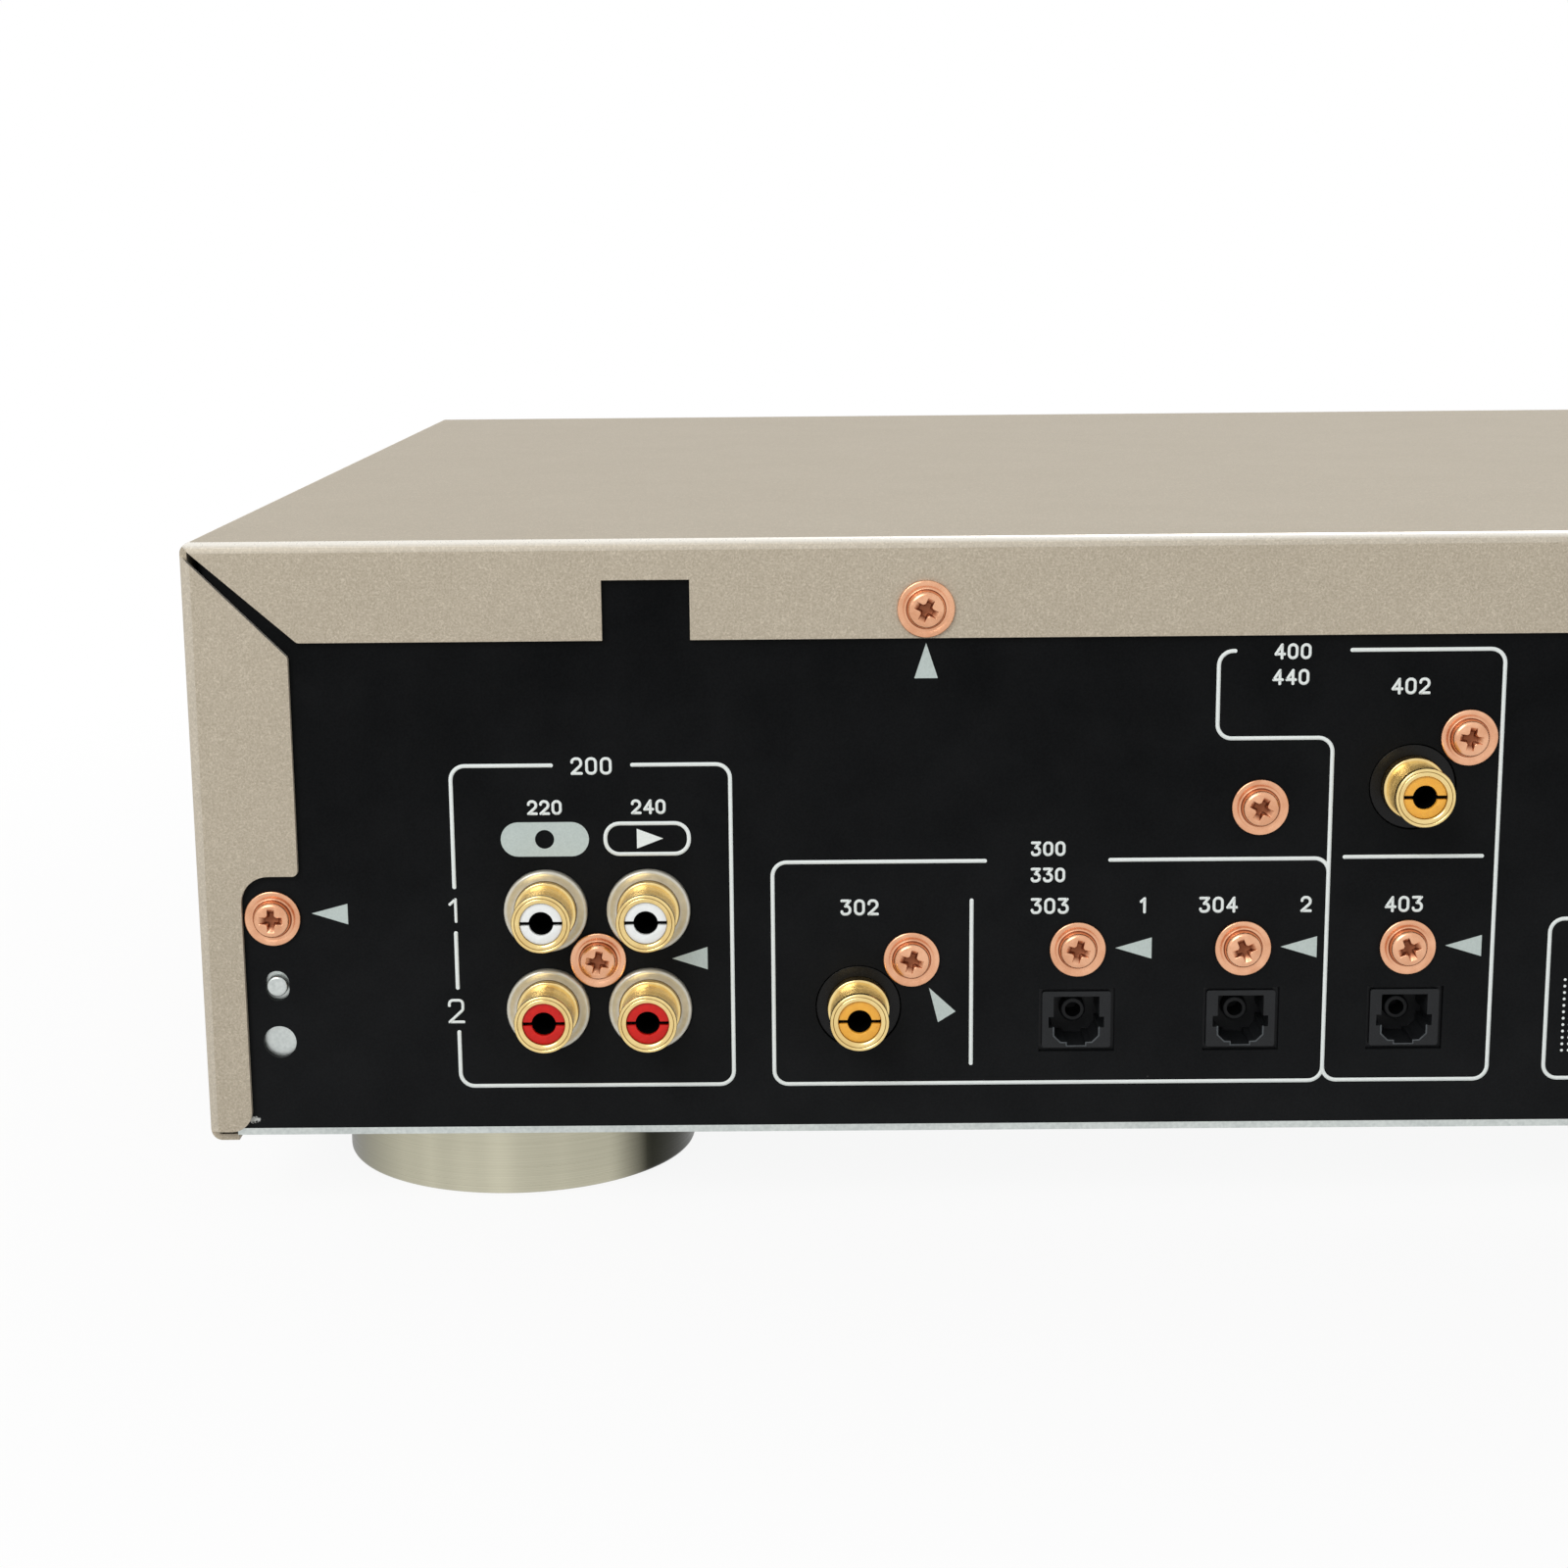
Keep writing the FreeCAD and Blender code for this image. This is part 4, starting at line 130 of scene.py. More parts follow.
# %% [markdown]
# A node tree is a sheet of boxes and wires, and long sums are hard to read as boxes. Here one
# small class stands for a wire and knows how to add, subtract and multiply, so a sum is written
# as Python and the Math boxes appear by themselves.

# %% A wire that can be added and multiplied
class Wire:
    """One output of a node; sums on it add Math nodes."""

    def __init__(self, sheet, socket):
        self.sheet, self.socket = sheet, socket

    def sum(self, operation, first, second):
        return self.sheet.node("ShaderNodeMath", {"operation": operation}, {0: first, 1: second})

    def __add__(self, other):
        return self.sum("ADD", self, other)

    def __radd__(self, other):
        return self.sum("ADD", other, self)

    def __sub__(self, other):
        return self.sum("SUBTRACT", self, other)

    def __rsub__(self, other):
        return self.sum("SUBTRACT", other, self)

    def __mul__(self, other):
        return self.sum("MULTIPLY", self, other)

    def __rmul__(self, other):
        return self.sum("MULTIPLY", other, self)


print("a sum on wires adds Math nodes")

# %% [markdown]
# Every other kind of box comes from one method. It takes the box's type, then its settings, then a
# value or a wire for each input. The settings come first because they decide which inputs are in
# use: a Mix box hides others of the same name, for other kinds of value. Inputs could be found by
# their place alone, but names read better.

# %% A sheet that makes any box
def pick(sockets, key):
    """A socket by its name, or by its place among those in use."""
    shown = [socket for socket in sockets if socket.enabled]
    if isinstance(key, int):
        return shown[key]
    return next(socket for socket in shown if socket.name == key)


class Sheet:
    """A node tree under construction."""

    def __init__(self, tree):
        self.tree = tree

    def node(self, kind, settings, inputs, take=0):
        """Adds a node: its settings first, then a value, a wire or a list of wires on each input."""
        made = self.tree.nodes.new(kind)
        for name, value in settings.items():
            setattr(made, name, value)
        for key, value in inputs.items():
            socket = pick(made.inputs, key)
            wires = value if isinstance(value, list) else [value]
            if isinstance(wires[0], Wire):
                for wire in wires:
                    self.tree.links.new(wire.socket, socket)
            else:
                socket.default_value = value
        return Wire(self, pick(made.outputs, take))


print("a box is made in one line")

# %% [markdown]
# Every finish starts from the Principled shader. What is the same all over is set on the shader
# itself; what varies is wired in: a colour between two tones, a roughness, and a relief that
# bends the light. A picture wrapped round each piece would blur close up, so the patterns are
# maths: they are sized in millimetres and read Object coordinates, which are the deck's own
# because every piece sits at the origin.

# %% A finish under construction
def srgb(red, green, blue):
    """A colour given as screen bytes, as the linear values that shaders want."""
    parts = [value / 255 for value in (red, green, blue)]
    return tuple([v / 12.92 if v <= 0.04045 else ((v + 0.055) / 1.055) ** 2.4 for v in parts] + [1.0])


class Finish(Sheet):
    """A material, with methods for the patterns that this deck needs."""

    def __init__(self, name, constants):
        self.material = bpy.data.materials.new(name)
        self.material.use_nodes = True
        super().__init__(self.material.node_tree)
        self.shader = self.tree.nodes["Principled BSDF"]
        for label, value in constants.items():
            self.shader.inputs[label].default_value = value

    def place(self, size, centre=(0, 0, 0), turn=(0, 0, 0)):
        """Object coordinates from a centre, turned, in units of a size in mm, or of three sizes."""
        sides = size if isinstance(size, tuple) else (size,) * 3
        here = self.node("ShaderNodeTexCoord", {}, {}, "Object")
        return self.node("ShaderNodeMapping", {"vector_type": "TEXTURE"},
                         {"Vector": here, "Location": centre, "Rotation": turn,
                          "Scale": [side * MM for side in sides]})

    def noise(self, size, detail=2.0, turn=(0, 0, 0)):
        """Noise from 0 to 1 with grains of a size in mm, spread to use the whole range."""
        raw = self.node("ShaderNodeTexNoise", {},
                        {"Vector": self.place(size, turn=turn), "Scale": 1.0, "Detail": detail})
        return self.between(raw, 0.3, 0.7)

    def mark(self, label):
        """A number that was written on the mesh, 0 where none was."""
        return self.node("ShaderNodeAttribute", {"attribute_name": label}, {}, "Fac")

    def between(self, value, low, high):
        """0 below low, 1 above high, and a straight slope between."""
        return self.node("ShaderNodeMapRange", {"clamp": True},
                         {"Value": value, "From Min": low, "From Max": high})

    def length(self, vector):
        return self.node("ShaderNodeVectorMath", {"operation": "LENGTH"}, {0: vector})

    def blend(self, first, second, share):
        """One colour fading into another."""
        return self.node("ShaderNodeMix", {"data_type": "RGBA"},
                         {"Factor": share, "A": first, "B": second})

    def feed(self, label, wire):
        self.tree.links.new(wire.socket, self.shader.inputs[label])

    def relief(self, height, depth):
        """A surface that rises by depth mm where height is 1."""
        self.feed("Normal", self.node("ShaderNodeBump", {}, {"Strength": 1.0, "Distance": depth * MM,
                                                             "Height": height}))


print("white paper is", [round(v, 3) for v in srgb(255, 255, 255)])

# %% [markdown]
# Most surfaces of the deck have a fine grain and broad, faint patches, whatever they are made of.
# One function mixes them all, so a new plastic or metal is one row of numbers. The finishes are
# kept under the names of the slots that the CAD record gives to its solids.

# %% A finish with a grain
finishes = {}


def grained(key, name, light, dark, grain, patch, gloss, depth, constants):
    """Adds a finish with a fine grain and broad, faint patches in colour, gloss and relief."""
    finish = Finish(name, constants)
    fine = finish.noise(grain, 3.0)
    tone = fine * 0.65 + finish.noise(patch, 1.0) * 0.35
    finish.feed("Base Color", finish.blend(srgb(*dark), srgb(*light), tone))
    finish.feed("Roughness", gloss[0] + (gloss[1] - gloss[0]) * tone)
    finish.relief(fine, depth)
    finishes[key] = finish.material


slots = sorted({solid.data.materials[0].name for solid in nodes.values()})
print(len(slots), "slots to fill:", ", ".join(slots))

# %% [markdown]
# The cover's paint is a champagne metallic: fine metal flakes under a satin lacquer, sprayed with
# a slight orange peel. Flakes are a grain about a third of a millimetre across; the peel is the
# curling ridges where a bent noise crosses its middle value, slightly raised and lighter. The
# shader is only faintly metallic, since the lacquer scatters light too. Where the cover's mesh is
# marked at a bend, a highlight is painted in: the colour turns near white and the shader more
# metallic and smoother, so the bend shines like bare metal.

# %% Champagne paint
SPECULAR = "Specular IOR Level"


def champagne_paint():
    finish = Finish("satin_champagne", {SPECULAR: 0.03, "Coat Roughness": 0.30})
    flakes = finish.noise(0.30)
    clouds = finish.noise(16, 1.0)
    swirl = finish.node("ShaderNodeTexNoise", {}, {"Vector": finish.place(0.9), "Scale": 1.0,
                                                   "Detail": 1.0, "Distortion": 1.6})
    off_middle = finish.node("ShaderNodeMath", {"operation": "ABSOLUTE"}, {0: swirl - 0.5})
    peel = finish.between(off_middle, 0.045, 0.0)
    tone = flakes * 0.5 + peel * 0.45 + clouds * 0.05
    paint = finish.blend(srgb(173, 162, 143), srgb(213, 202, 183), tone)
    # The bend mark is a painted highlight: it whitens the paint and makes it more metallic and
    # smoother.
    bend = finish.mark("bend")
    finish.feed("Base Color", finish.blend(paint, srgb(255, 252, 244), bend * 0.8))
    finish.feed("Metallic", 0.05 + 0.65 * bend)
    finish.feed("Roughness", 0.38 + 0.14 * flakes - 0.12 * bend)
    finish.feed("Coat Weight", 0.03 + 0.01 * clouds)
    finish.relief(flakes * 0.4 + peel * 0.6, 0.006)
    return finish.material


finishes["champagne_paint"] = champagne_paint()
print("mixed", finishes["champagne_paint"].name)

# %% [markdown]
# The panel is satin black with a fine tooth, and a black that is the same all over would look like
# a hole. So it carries a painted reflection of the white floor, paler towards its foot, and it has
# a speck of dust here and there, from cells far larger than the speck that each may hold, and a
# scuff of bare metal near its lower corner.

# %% Black paint
DUST_APART = 21
FLOOR_REFLECTION_FADE = 70
SCUFF = on_panel(6.4, 1.3)


def black_paint():
    finish = Finish("satin_black", {SPECULAR: 0.06})
    tooth = finish.noise(0.25)
    clouds = finish.noise(9.0)
    cell = finish.node("ShaderNodeTexVoronoi", {}, {"Vector": finish.place(DUST_APART), "Scale": 1.0})
    dust = finish.between(cell, 0.012, 0.004)
    reach = finish.length(finish.place((1.2, 1, 0.55), SCUFF))
    scuff = finish.between(reach + tooth * 0.8, 1.25, 0.85)
    # Painted reflection of the white floor: the paint is paler towards the panel's foot.
    height = finish.node("ShaderNodeSeparateXYZ", {},
                         {0: finish.place((1, 1, FLOOR_REFLECTION_FADE), on_panel(0, 0))}, "Z")
    tone = tooth * 0.25 + clouds * 0.25 + (1.0 - height) * 0.5
    paint = finish.blend(srgb(1, 2, 3), srgb(26, 27, 28), tone)
    dusty = finish.blend(paint, srgb(96, 97, 95), dust)
    finish.feed("Base Color", finish.blend(dusty, srgb(196, 198, 194), scuff))
    finish.feed("Roughness", 0.42 + 0.14 * tooth)
    finish.relief(tooth, 0.004)
    return finish.material


finishes["black_paint"] = black_paint()
print("mixed", finishes["black_paint"].name)

# %% [markdown]
# The plated metals are mirrors with a colour of their own. Zinc has faint crystals, copper on
# the screws is rosy and slightly dulled, gold on the jacks is smooth and deep, and bare steel
# shows its rolling direction as long fine lines. Copper and gold turn brown wherever a mesh is
# marked in its recesses and grooves: partly tarnish, and partly painted shade, since an evenly lit
# room leaves them no darker than the rest. Most metals differ only in numbers, so they are rows
# of a table: slot, name, light and dark tone, size of the grain and of the patches in mm,
# roughness from and to, relief in mm, and what is the same all over.

# %% Plated and bare metals
METAL = {"Metallic": 1.0}


def plated(key, name, light, dark, shade_and_tarnish_tone, gloss):
    """Adds a smooth plating with faint clouds, turned brown by tarnish and painted shade where the mesh
    is so marked.
    """
    finish = Finish(name, METAL)
    fine = finish.noise(0.5)
    broad = finish.noise(3, 1.0)
    # Painted shade and tarnish: the plating goes brown and rougher where the mesh is marked.
    hollow = finish.mark("hollow")
    clean_metal = finish.blend(srgb(*dark), srgb(*light), fine * 0.3 + broad * 0.7)
    finish.feed("Base Color", finish.blend(clean_metal, srgb(*shade_and_tarnish_tone), hollow))
    finish.feed("Roughness", gloss[0] + (gloss[1] - gloss[0]) * fine + 0.25 * hollow)
    finish.relief(fine, 0.0002)
    finishes[key] = finish.material


plated("copper_plate", "rose_copper", (240, 186, 150), (214, 154, 118), (120, 62, 38), (0.20, 0.34))
plated("gold_plate", "deep_gold", (244, 220, 156), (224, 192, 126), (112, 82, 38), (0.14, 0.22))
for row in (
        ("zinc_plate", "bright_zinc", (214, 219, 216), (186, 192, 190), 0.5, 6, (0.28, 0.46), 0.004,
         METAL),
        ("bright_steel", "ground_steel", (226, 226, 226), (196, 196, 198), (0.3, 4.0, 0.3), 3,
         (0.12, 0.26), 0.002, METAL),
        ("steel_plate", "rolled_steel", (205, 205, 202), (172, 172, 171), (12.0, 0.25, 0.6), 8,
         (0.26, 0.44), 0.003, METAL),
        ("transformer_iron", "varnished_iron", (92, 88, 84), (52, 49, 47), (30, 30, 0.5), 6,
         (0.35, 0.6), 0.05, {"Metallic": 0.6})):
    grained(*row)
print(len(finishes), "finishes so far")

# %% [markdown]
# Brushed aluminium is all direction. On the fascia the brush ran along the deck, so the grain is
# stretched along X. The feet were turned, so their lines run round them and only the height
# matters; such lines throw light back in upright bands, which the feet carry as a mark on their
# mesh. A knob's face is turned too, and there the lines are rings about its own shaft.

# %% Brushed and turned aluminium
FASCIA_TONES = (srgb(188, 178, 155), srgb(212, 202, 179))
FOOT_TONES = (srgb(186, 182, 160), srgb(214, 210, 188))
SHADE = srgb(40, 40, 31)


def brushed(name, size, gloss, tones):
    """Aluminium with long lines along the largest side of size, darker where a painted reflection band
    is marked as away.
    """
    finish = Finish(name, METAL)
    lines = finish.noise(size, 4.0)
    lit = finish.blend(*tones, lines * 0.7 + finish.noise(30, 1.0) * 0.3)
    finish.feed("Base Color", finish.blend(lit, SHADE, finish.mark("away")))
    finish.feed("Roughness", gloss[0] + (gloss[1] - gloss[0]) * lines)
    finish.relief(lines, 0.003)
    return finish.material


def turned_face(name, centre):
    """Aluminium with rings about an axis along Y through a centre."""
    finish = Finish(name, METAL)
    radius = finish.length(finish.place((1, 1e6, 1), centre))
    wave = finish.node("ShaderNodeTexNoise", {"noise_dimensions": "1D"},
                       {"W": radius * 5.0, "Scale": 1.0, "Detail": 3.0})
    rings = finish.between(wave, 0.3, 0.7)
    finish.feed("Base Color", finish.blend(*FASCIA_TONES, rings))
    finish.feed("Roughness", 0.22 + 0.16 * rings)
    finish.relief(rings, 0.004)
    return finish.material


finishes["champagne_aluminium"] = brushed("brushed_champagne", (45.0, 0.12, 0.12), (0.30, 0.48),
                                          FASCIA_TONES)
finishes["turned_champagne"] = brushed("turned_champagne", (60.0, 60.0, 0.10), (0.26, 0.40), FOOT_TONES)
print("brushed along the fascia, round the feet and round each knob")

# %% [markdown]
# Plastics are moulded, so they carry the mould's fine spark texture and a soft sheen. The jack
# inserts are glossy and brightly coloured; the bores behind them are as dark as black gets, painted
# shade for their deep insides. Rubber is dull and acetal waxy, and the power board is brown paper
# laminate. The print on the panel is screen ink: one white for lines and numbers and one silver
# for arrows. The rows have the same columns as the metals. A row whose key is no slot of the CAD
# is for single pieces.

# %% Plastics, rubber and ink
INSULATOR = (0.6, 2, (0.25, 0.40), 0.0008)
PHOSPHOR = (214, 224, 218)
for row in (
        ("black_plastic", "moulded_black", (34, 36, 38), (20, 21, 23), 0.18, 5, (0.34, 0.52), 0.004,
         {SPECULAR: 0.25}),
        ("cream_plastic", "glossy_cream", (216, 213, 200), (200, 196, 182), 0.8, 3, (0.16, 0.28),
         0.0005, {"Metallic": 0.35}),
        ("white_plastic", "white_insulator", (252, 254, 253), (244, 248, 247), *INSULATOR, {}),
        ("red_plastic", "red_insulator", (222, 32, 22), (202, 22, 16), *INSULATOR, {SPECULAR: 0.3}),
        ("amber_plastic", "amber_insulator", (255, 190, 70), (246, 172, 52), *INSULATOR, {}),
        ("rubber", "dull_rubber", (62, 60, 58), (40, 39, 38), 0.25, 4, (0.75, 0.95), 0.03, {}),
        ("white_acetal", "waxy_acetal", (238, 236, 228), (222, 220, 210), 0.6, 6, (0.30, 0.45), 0.004,
         {}),
        ("tan_board", "paper_laminate", (196, 160, 108), (166, 130, 82), 0.3, 12, (0.45, 0.65), 0.01,
         {}),
        ("ribbon_grey", "ribbon_sheath", (226, 226, 222), (196, 196, 192), (0.62, 40, 40), 5,
         (0.35, 0.5), 0.05, {}),
        ("gloss_black", "gloss_black", (22, 22, 23), (12, 12, 13), 0.4, 3, (0.2, 0.35), 0.0008,
         {SPECULAR: 0.18}),
        # Painted highlight: a paler grey for the lit edges of the optical sockets' lips.
        ("worn_black", "worn_black", (84, 89, 92), (62, 66, 69), 0.3, 1.5, (0.3, 0.5), 0.001,
         {SPECULAR: 0.3}),
        # Painted shade: the blackest black, for the deep insides of bores.
        ("bore_black", "bore_black", (10, 10, 11), (4, 4, 5), 0.5, 2, (0.6, 0.8), 0.002,
         {SPECULAR: 0.05}),
        ("white_ink", "white_ink", (244, 249, 247), (232, 239, 236), 0.3, 6, (0.45, 0.6), 0.001,
         {SPECULAR: 0.2}),
        ("silver_ink", "silver_ink", (198, 209, 205), (180, 192, 188), 0.25, 6, (0.40, 0.55), 0.002,
         {"Metallic": 0.25}),
        # Painted glow: the unlit phosphor is given a faint emission.
        ("phosphor", "unlit_phosphor", PHOSPHOR, (196, 208, 202), 0.2, 3, (0.5, 0.7), 0.001,
         {"Emission Color": srgb(*PHOSPHOR), "Emission Strength": 0.16})):
    grained(*row)
print(len(finishes), "finishes so far")

# %% [markdown]
# The main boards are green lacquer over copper. Real tracks follow a circuit, which no pattern
# draws. A sheet of copper with small square gaps, paler and slightly raised under the lacquer, is
# enough for boards behind a closed cover, and one pattern of square cells makes it.

# %% The circuit board's lacquer
def circuit_board():
    finish = Finish("green_lacquer", {"Coat Roughness": 0.1})
    cells = finish.node("ShaderNodeTexVoronoi", {"distance": "CHEBYCHEV", "feature": "F1"},
                         {"Vector": finish.place((3.2, 3.2, 40)), "Scale": 1.0})
    copper = finish.between(cells, 0.30, 0.34)
    weave = finish.noise(0.4, 1.0)
    green = finish.blend(srgb(18, 84, 48), srgb(30, 112, 62), weave)
    finish.feed("Base Color", finish.blend(green, srgb(64, 148, 84), copper))
    finish.feed("Roughness", 0.22 + 0.12 * weave)
    finish.feed("Coat Weight", 0.3 + 0.2 * copper)
    finish.relief(copper, 0.03)
    return finish.material


finishes["circuit_board"] = circuit_board()
print("mixed", finishes["circuit_board"].name)

# %% [markdown]
# The display sits behind smoked acrylic. Smoke is nearly black in the plate's depth and clear
# enough at a glance to show the glass tube behind, so both are partly see-through. True glass
# with bent rays would be slower and darker, so the share that is clear is simply an alpha. A few
# faint wipe marks in the gloss keep them from looking like holes.

# %% See-through finishes
def smoked(name, tint, cover, gloss):
    """A polished finish that hides a share of what is behind it, with faint wipe marks."""
    finish = Finish(name, {SPECULAR: 0.5})
    wipes = finish.noise((26, 26, 5), 3.0, (0, 0.35, 0))
    grime = finish.noise(1.2)
    finish.feed("Base Color", finish.blend(tint, srgb(60, 64, 66), grime * 0.15))
    finish.feed("Roughness", gloss + 0.08 * wipes)
    finish.feed("Alpha", cover + 0.05 * grime)
    finish.relief(wipes, 0.002)
    return finish.material


finishes["smoked_acrylic"] = smoked("smoked_sheet", srgb(16, 18, 20), 0.62, 0.03)
finishes["display_glass"] = smoked("tube_glass", srgb(30, 36, 35), 0.90, 0.05)
print("finishes ready:", ", ".join(sorted(finishes)))

# %% [markdown]
# The CAD solids arrive as loose triangles. A clean copy with its doubles merged and its flat
# faces joined can be given softened edges and smooth bends, and the places of separate screws or
# jacks can be read from it as islands: groups of points that are joined by edges.

# %% Clean copies and their islands
def clean(node):
    """A CAD node's shape as one welded bmesh."""
    shape = bmesh.new()
    shape.from_mesh(nodes[node].data)
    bmesh.ops.remove_doubles(shape, verts=shape.verts, dist=0.002 * MM)
    bmesh.ops.dissolve_limit(shape, angle_limit=math.radians(0.15), verts=shape.verts,
                             edges=shape.edges)
    return shape


def islands(node):
    """The (low corner, high corner) of each separate solid in a node."""
    shape = clean(node)
    seen, found = set(), []
    for start in shape.verts:
        if start in seen:
            continue
        seen.add(start)
        group = [start]
        for vert in group:
            near = {link.other_vert(vert) for link in vert.link_edges} - seen
            seen |= near
            group += near
        found.append([Vector([limit(vert.co[i] for vert in group) for i in range(3)])
                      for limit in (min, max)])
    shape.free()
    return found


print("panel screws found:", len(islands("panel_screws")))

# %% [markdown]
# Modifiers ease edges and straighten shading. They could stay live, but a mesh that is settled
# first can be marked, measured and joined. An edge eased by a tenth of a millimetre is what makes
# a moulding or a folded sheet readable, because it catches a thin line of light.

# %% Settle, smooth and mark a mesh
def settled(mesh, steps):
    """The mesh as its modifiers leave it, with nothing live left."""
    holder = added("holder", mesh)
    for kind, settings in steps:
        modifier = holder.modifiers.new(kind, kind)
        for label, value in settings.items():
            if hasattr(modifier, label):
                setattr(modifier, label, value)
            else:
                modifier[label] = value
    ready = holder.evaluated_get(bpy.context.evaluated_depsgraph_get())
    result = bpy.data.meshes.new_from_object(ready)
    holder.modifiers.clear()
    bpy.data.objects.remove(holder)
    return result


def ease(width, segments, angle, miter="MITER_SHARP"):
    """The step that rounds every edge sharper than the angle."""
    return "BEVEL", {"width": width * MM, "segments": segments, "limit_method": "ANGLE",
                     "angle_limit": math.radians(angle), "miter_outer": miter}


def smooth(mesh, angle=32.0):
    """Soft shading, with edges sharper than the angle kept crisp."""
    mesh.shade_smooth()
    mesh.set_sharp_from_angle(angle=math.radians(angle))
    return mesh


def marked(mesh, label, rule):
    """Writes a number on each point of a mesh, worked out from its place in mm."""
    mesh.attributes.new(label, "FLOAT", "POINT")
    for vert in mesh.vertices:
        mesh.attributes[label].data[vert.index].value = rule(*(vert.co / MM))
    return mesh


def to_mesh(shape):
    """A bmesh as a mesh, and the bmesh put away."""
    mesh = bpy.data.meshes.new("shape")
    shape.to_mesh(mesh)
    shape.free()
    return mesh


print("an edge eased by 0.1 mm:", ease(0.1, 2, 38))

# %% [markdown]
# A mesh becomes a piece of the deck once it is known which moving body carries it, which finish of
# the record it shows and which CAD nodes it stands for. Most pieces are the CAD's own shape with
# eased edges, so one helper does it all for a node's name.

# %% Add a piece to the deck
def piece(name, mesh, slot, body="chassis", stands_for=(), finish=None):
    """Adds a finished mesh to the deck: its body, its finish (the slot's own unless another is named)
    and the nodes it stands for.
    """
    mesh.materials.clear()
    mesh.materials.append(finishes[finish or slot])
    made = added(name, mesh)
    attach(made, body)
    if stands_for:
        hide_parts(*stands_for)
    return made


def dressed(node, edge=0.0, body="chassis", finish=None):
    """A clean copy of a node, its edges eased by edge mm, standing for the node."""
    steps = [ease(edge, 2, 38, "MITER_ARC")] if edge else []
    steps.append(("WEIGHTED_NORMAL", {"keep_sharp": True}))
    mesh = settled(smooth(to_mesh(clean(node))), steps)
    print(node, len(mesh.polygons), "faces")
    return piece(node + "_skin", mesh, nodes[node].data.materials[0].name, body, (node,), finish)


print("ready to dress", len(nodes), "nodes")

# %% [markdown]
# ## Sheet metal
# The cover is one folded sheet: a top, two sides and a flange down each edge of the back, mitred
# where they meet. The panel, tray and brackets are flat sheets. Their shapes are the CAD's own;
# what they need is shading that is flat on the faces and round only in the bends. The cover's cut
# edges are eased too, because a painted edge always shows as a fine bright line. A highlight is
# painted on its bends, and faintly on its eased edges, by a mark set face by face, since a mark on
# points would spread into the flat faces beside them.

# %% Dress the sheet metal
FLAT = 0.997


def shine(normal):
    """How strong the painted highlight is on a face of the cover: most on the upward faces of a bend, a
    little on other faces that are not flat, none where it is flat.
    """
    if max(abs(part) for part in normal) > FLAT:
        return 0.0
    return min(1.0, max(0.15, (normal.z - 0.42) / 0.4))


cover_mesh = dressed("top_cover", 0.2).data
cover_mesh.attributes.new("bend", "FLOAT", "FACE")
for face in cover_mesh.polygons:
    cover_mesh.attributes["bend"].data[face.index].value = shine(face.normal)
print(sum(1 for face in cover_mesh.polygons if shine(face.normal)), "of them in bends and edges")
for node in ("rear_panel", "chassis_tray", "corner_brackets"):
    dressed(node)

# %% [markdown]
# ## Turned parts
# Screws, jacks, collars, feet and knobs are all lathe work: a profile spun about an axis. The
# helper takes the profile as (radius, height) in millimetres, from one end round to the other.
# Spinning can turn a shape inside out, so the normals are worked out anew. Flat parts are an
# outline given thickness, and its two ends may differ, for a solid that narrows.

# %% A lathe and a press
def lathe(profile, steps=72, closed=False):
    """A turned mesh about Z; a radius of 0 closes an end in one point."""
    shape = bmesh.new()
    rings = [[shape.verts.new((radius * MM * math.cos(2 * math.pi * i / steps),
                               radius * MM * math.sin(2 * math.pi * i / steps), height * MM))
              for i in range(steps if radius > 0 else 1)] for radius, height in profile]
    pairs = list(zip(rings, rings[1:])) + ([(rings[-1], rings[0])] if closed else [])
    for first, second in pairs:
        for i in range(steps):
            j = (i + 1) % steps
            corners = list(dict.fromkeys([first[i % len(first)], first[j % len(first)],
                                          second[j % len(second)], second[i % len(second)]]))
            if len(corners) > 2:
                shape.faces.new(corners)
    bmesh.ops.recalc_face_normals(shape, faces=shape.faces)
    return to_mesh(shape)


def arc(centre_r, centre_h, radius, start, stop, count=5):
    """Points of a round in a profile, angles in degrees from outward to up."""
    angles = [math.radians(start + (stop - start) * i / count) for i in range(count + 1)]
    return [(centre_r + radius * math.cos(a), centre_h + radius * math.sin(a)) for a in angles]


def prism(outline, low, high, far_outline=None):
    """An outline in mm given thickness, from one height to another, towards its far outline."""
    shape = bmesh.new()
    base = [shape.verts.new((x * MM, y * MM, low * MM)) for x, y in outline]
    top = [shape.verts.new((x * MM, y * MM, high * MM)) for x, y in far_outline or outline]
    shape.faces.new(base[::-1])
    shape.faces.new(top)
    for i in range(len(base)):
        j = (i + 1) % len(base)
        shape.faces.new((base[i], base[j], top[j], top[i]))
    bmesh.ops.recalc_face_normals(shape, faces=shape.faces)
    return to_mesh(shape)


def gathered(meshes):
    """Several meshes as one."""
    shape = bmesh.new()
    for mesh in meshes:
        shape.from_mesh(mesh)
    return to_mesh(shape)


print("lathe ready")

# %% [markdown]
# Geometry Nodes are a sheet of boxes too, but they make shapes. A tree's named inputs are its
# sizes. It is run on a mesh as a modifier, by the keys of its inputs, and what it grows is kept as
# a plain mesh. At its end it makes its instances real and coats them with a finish.

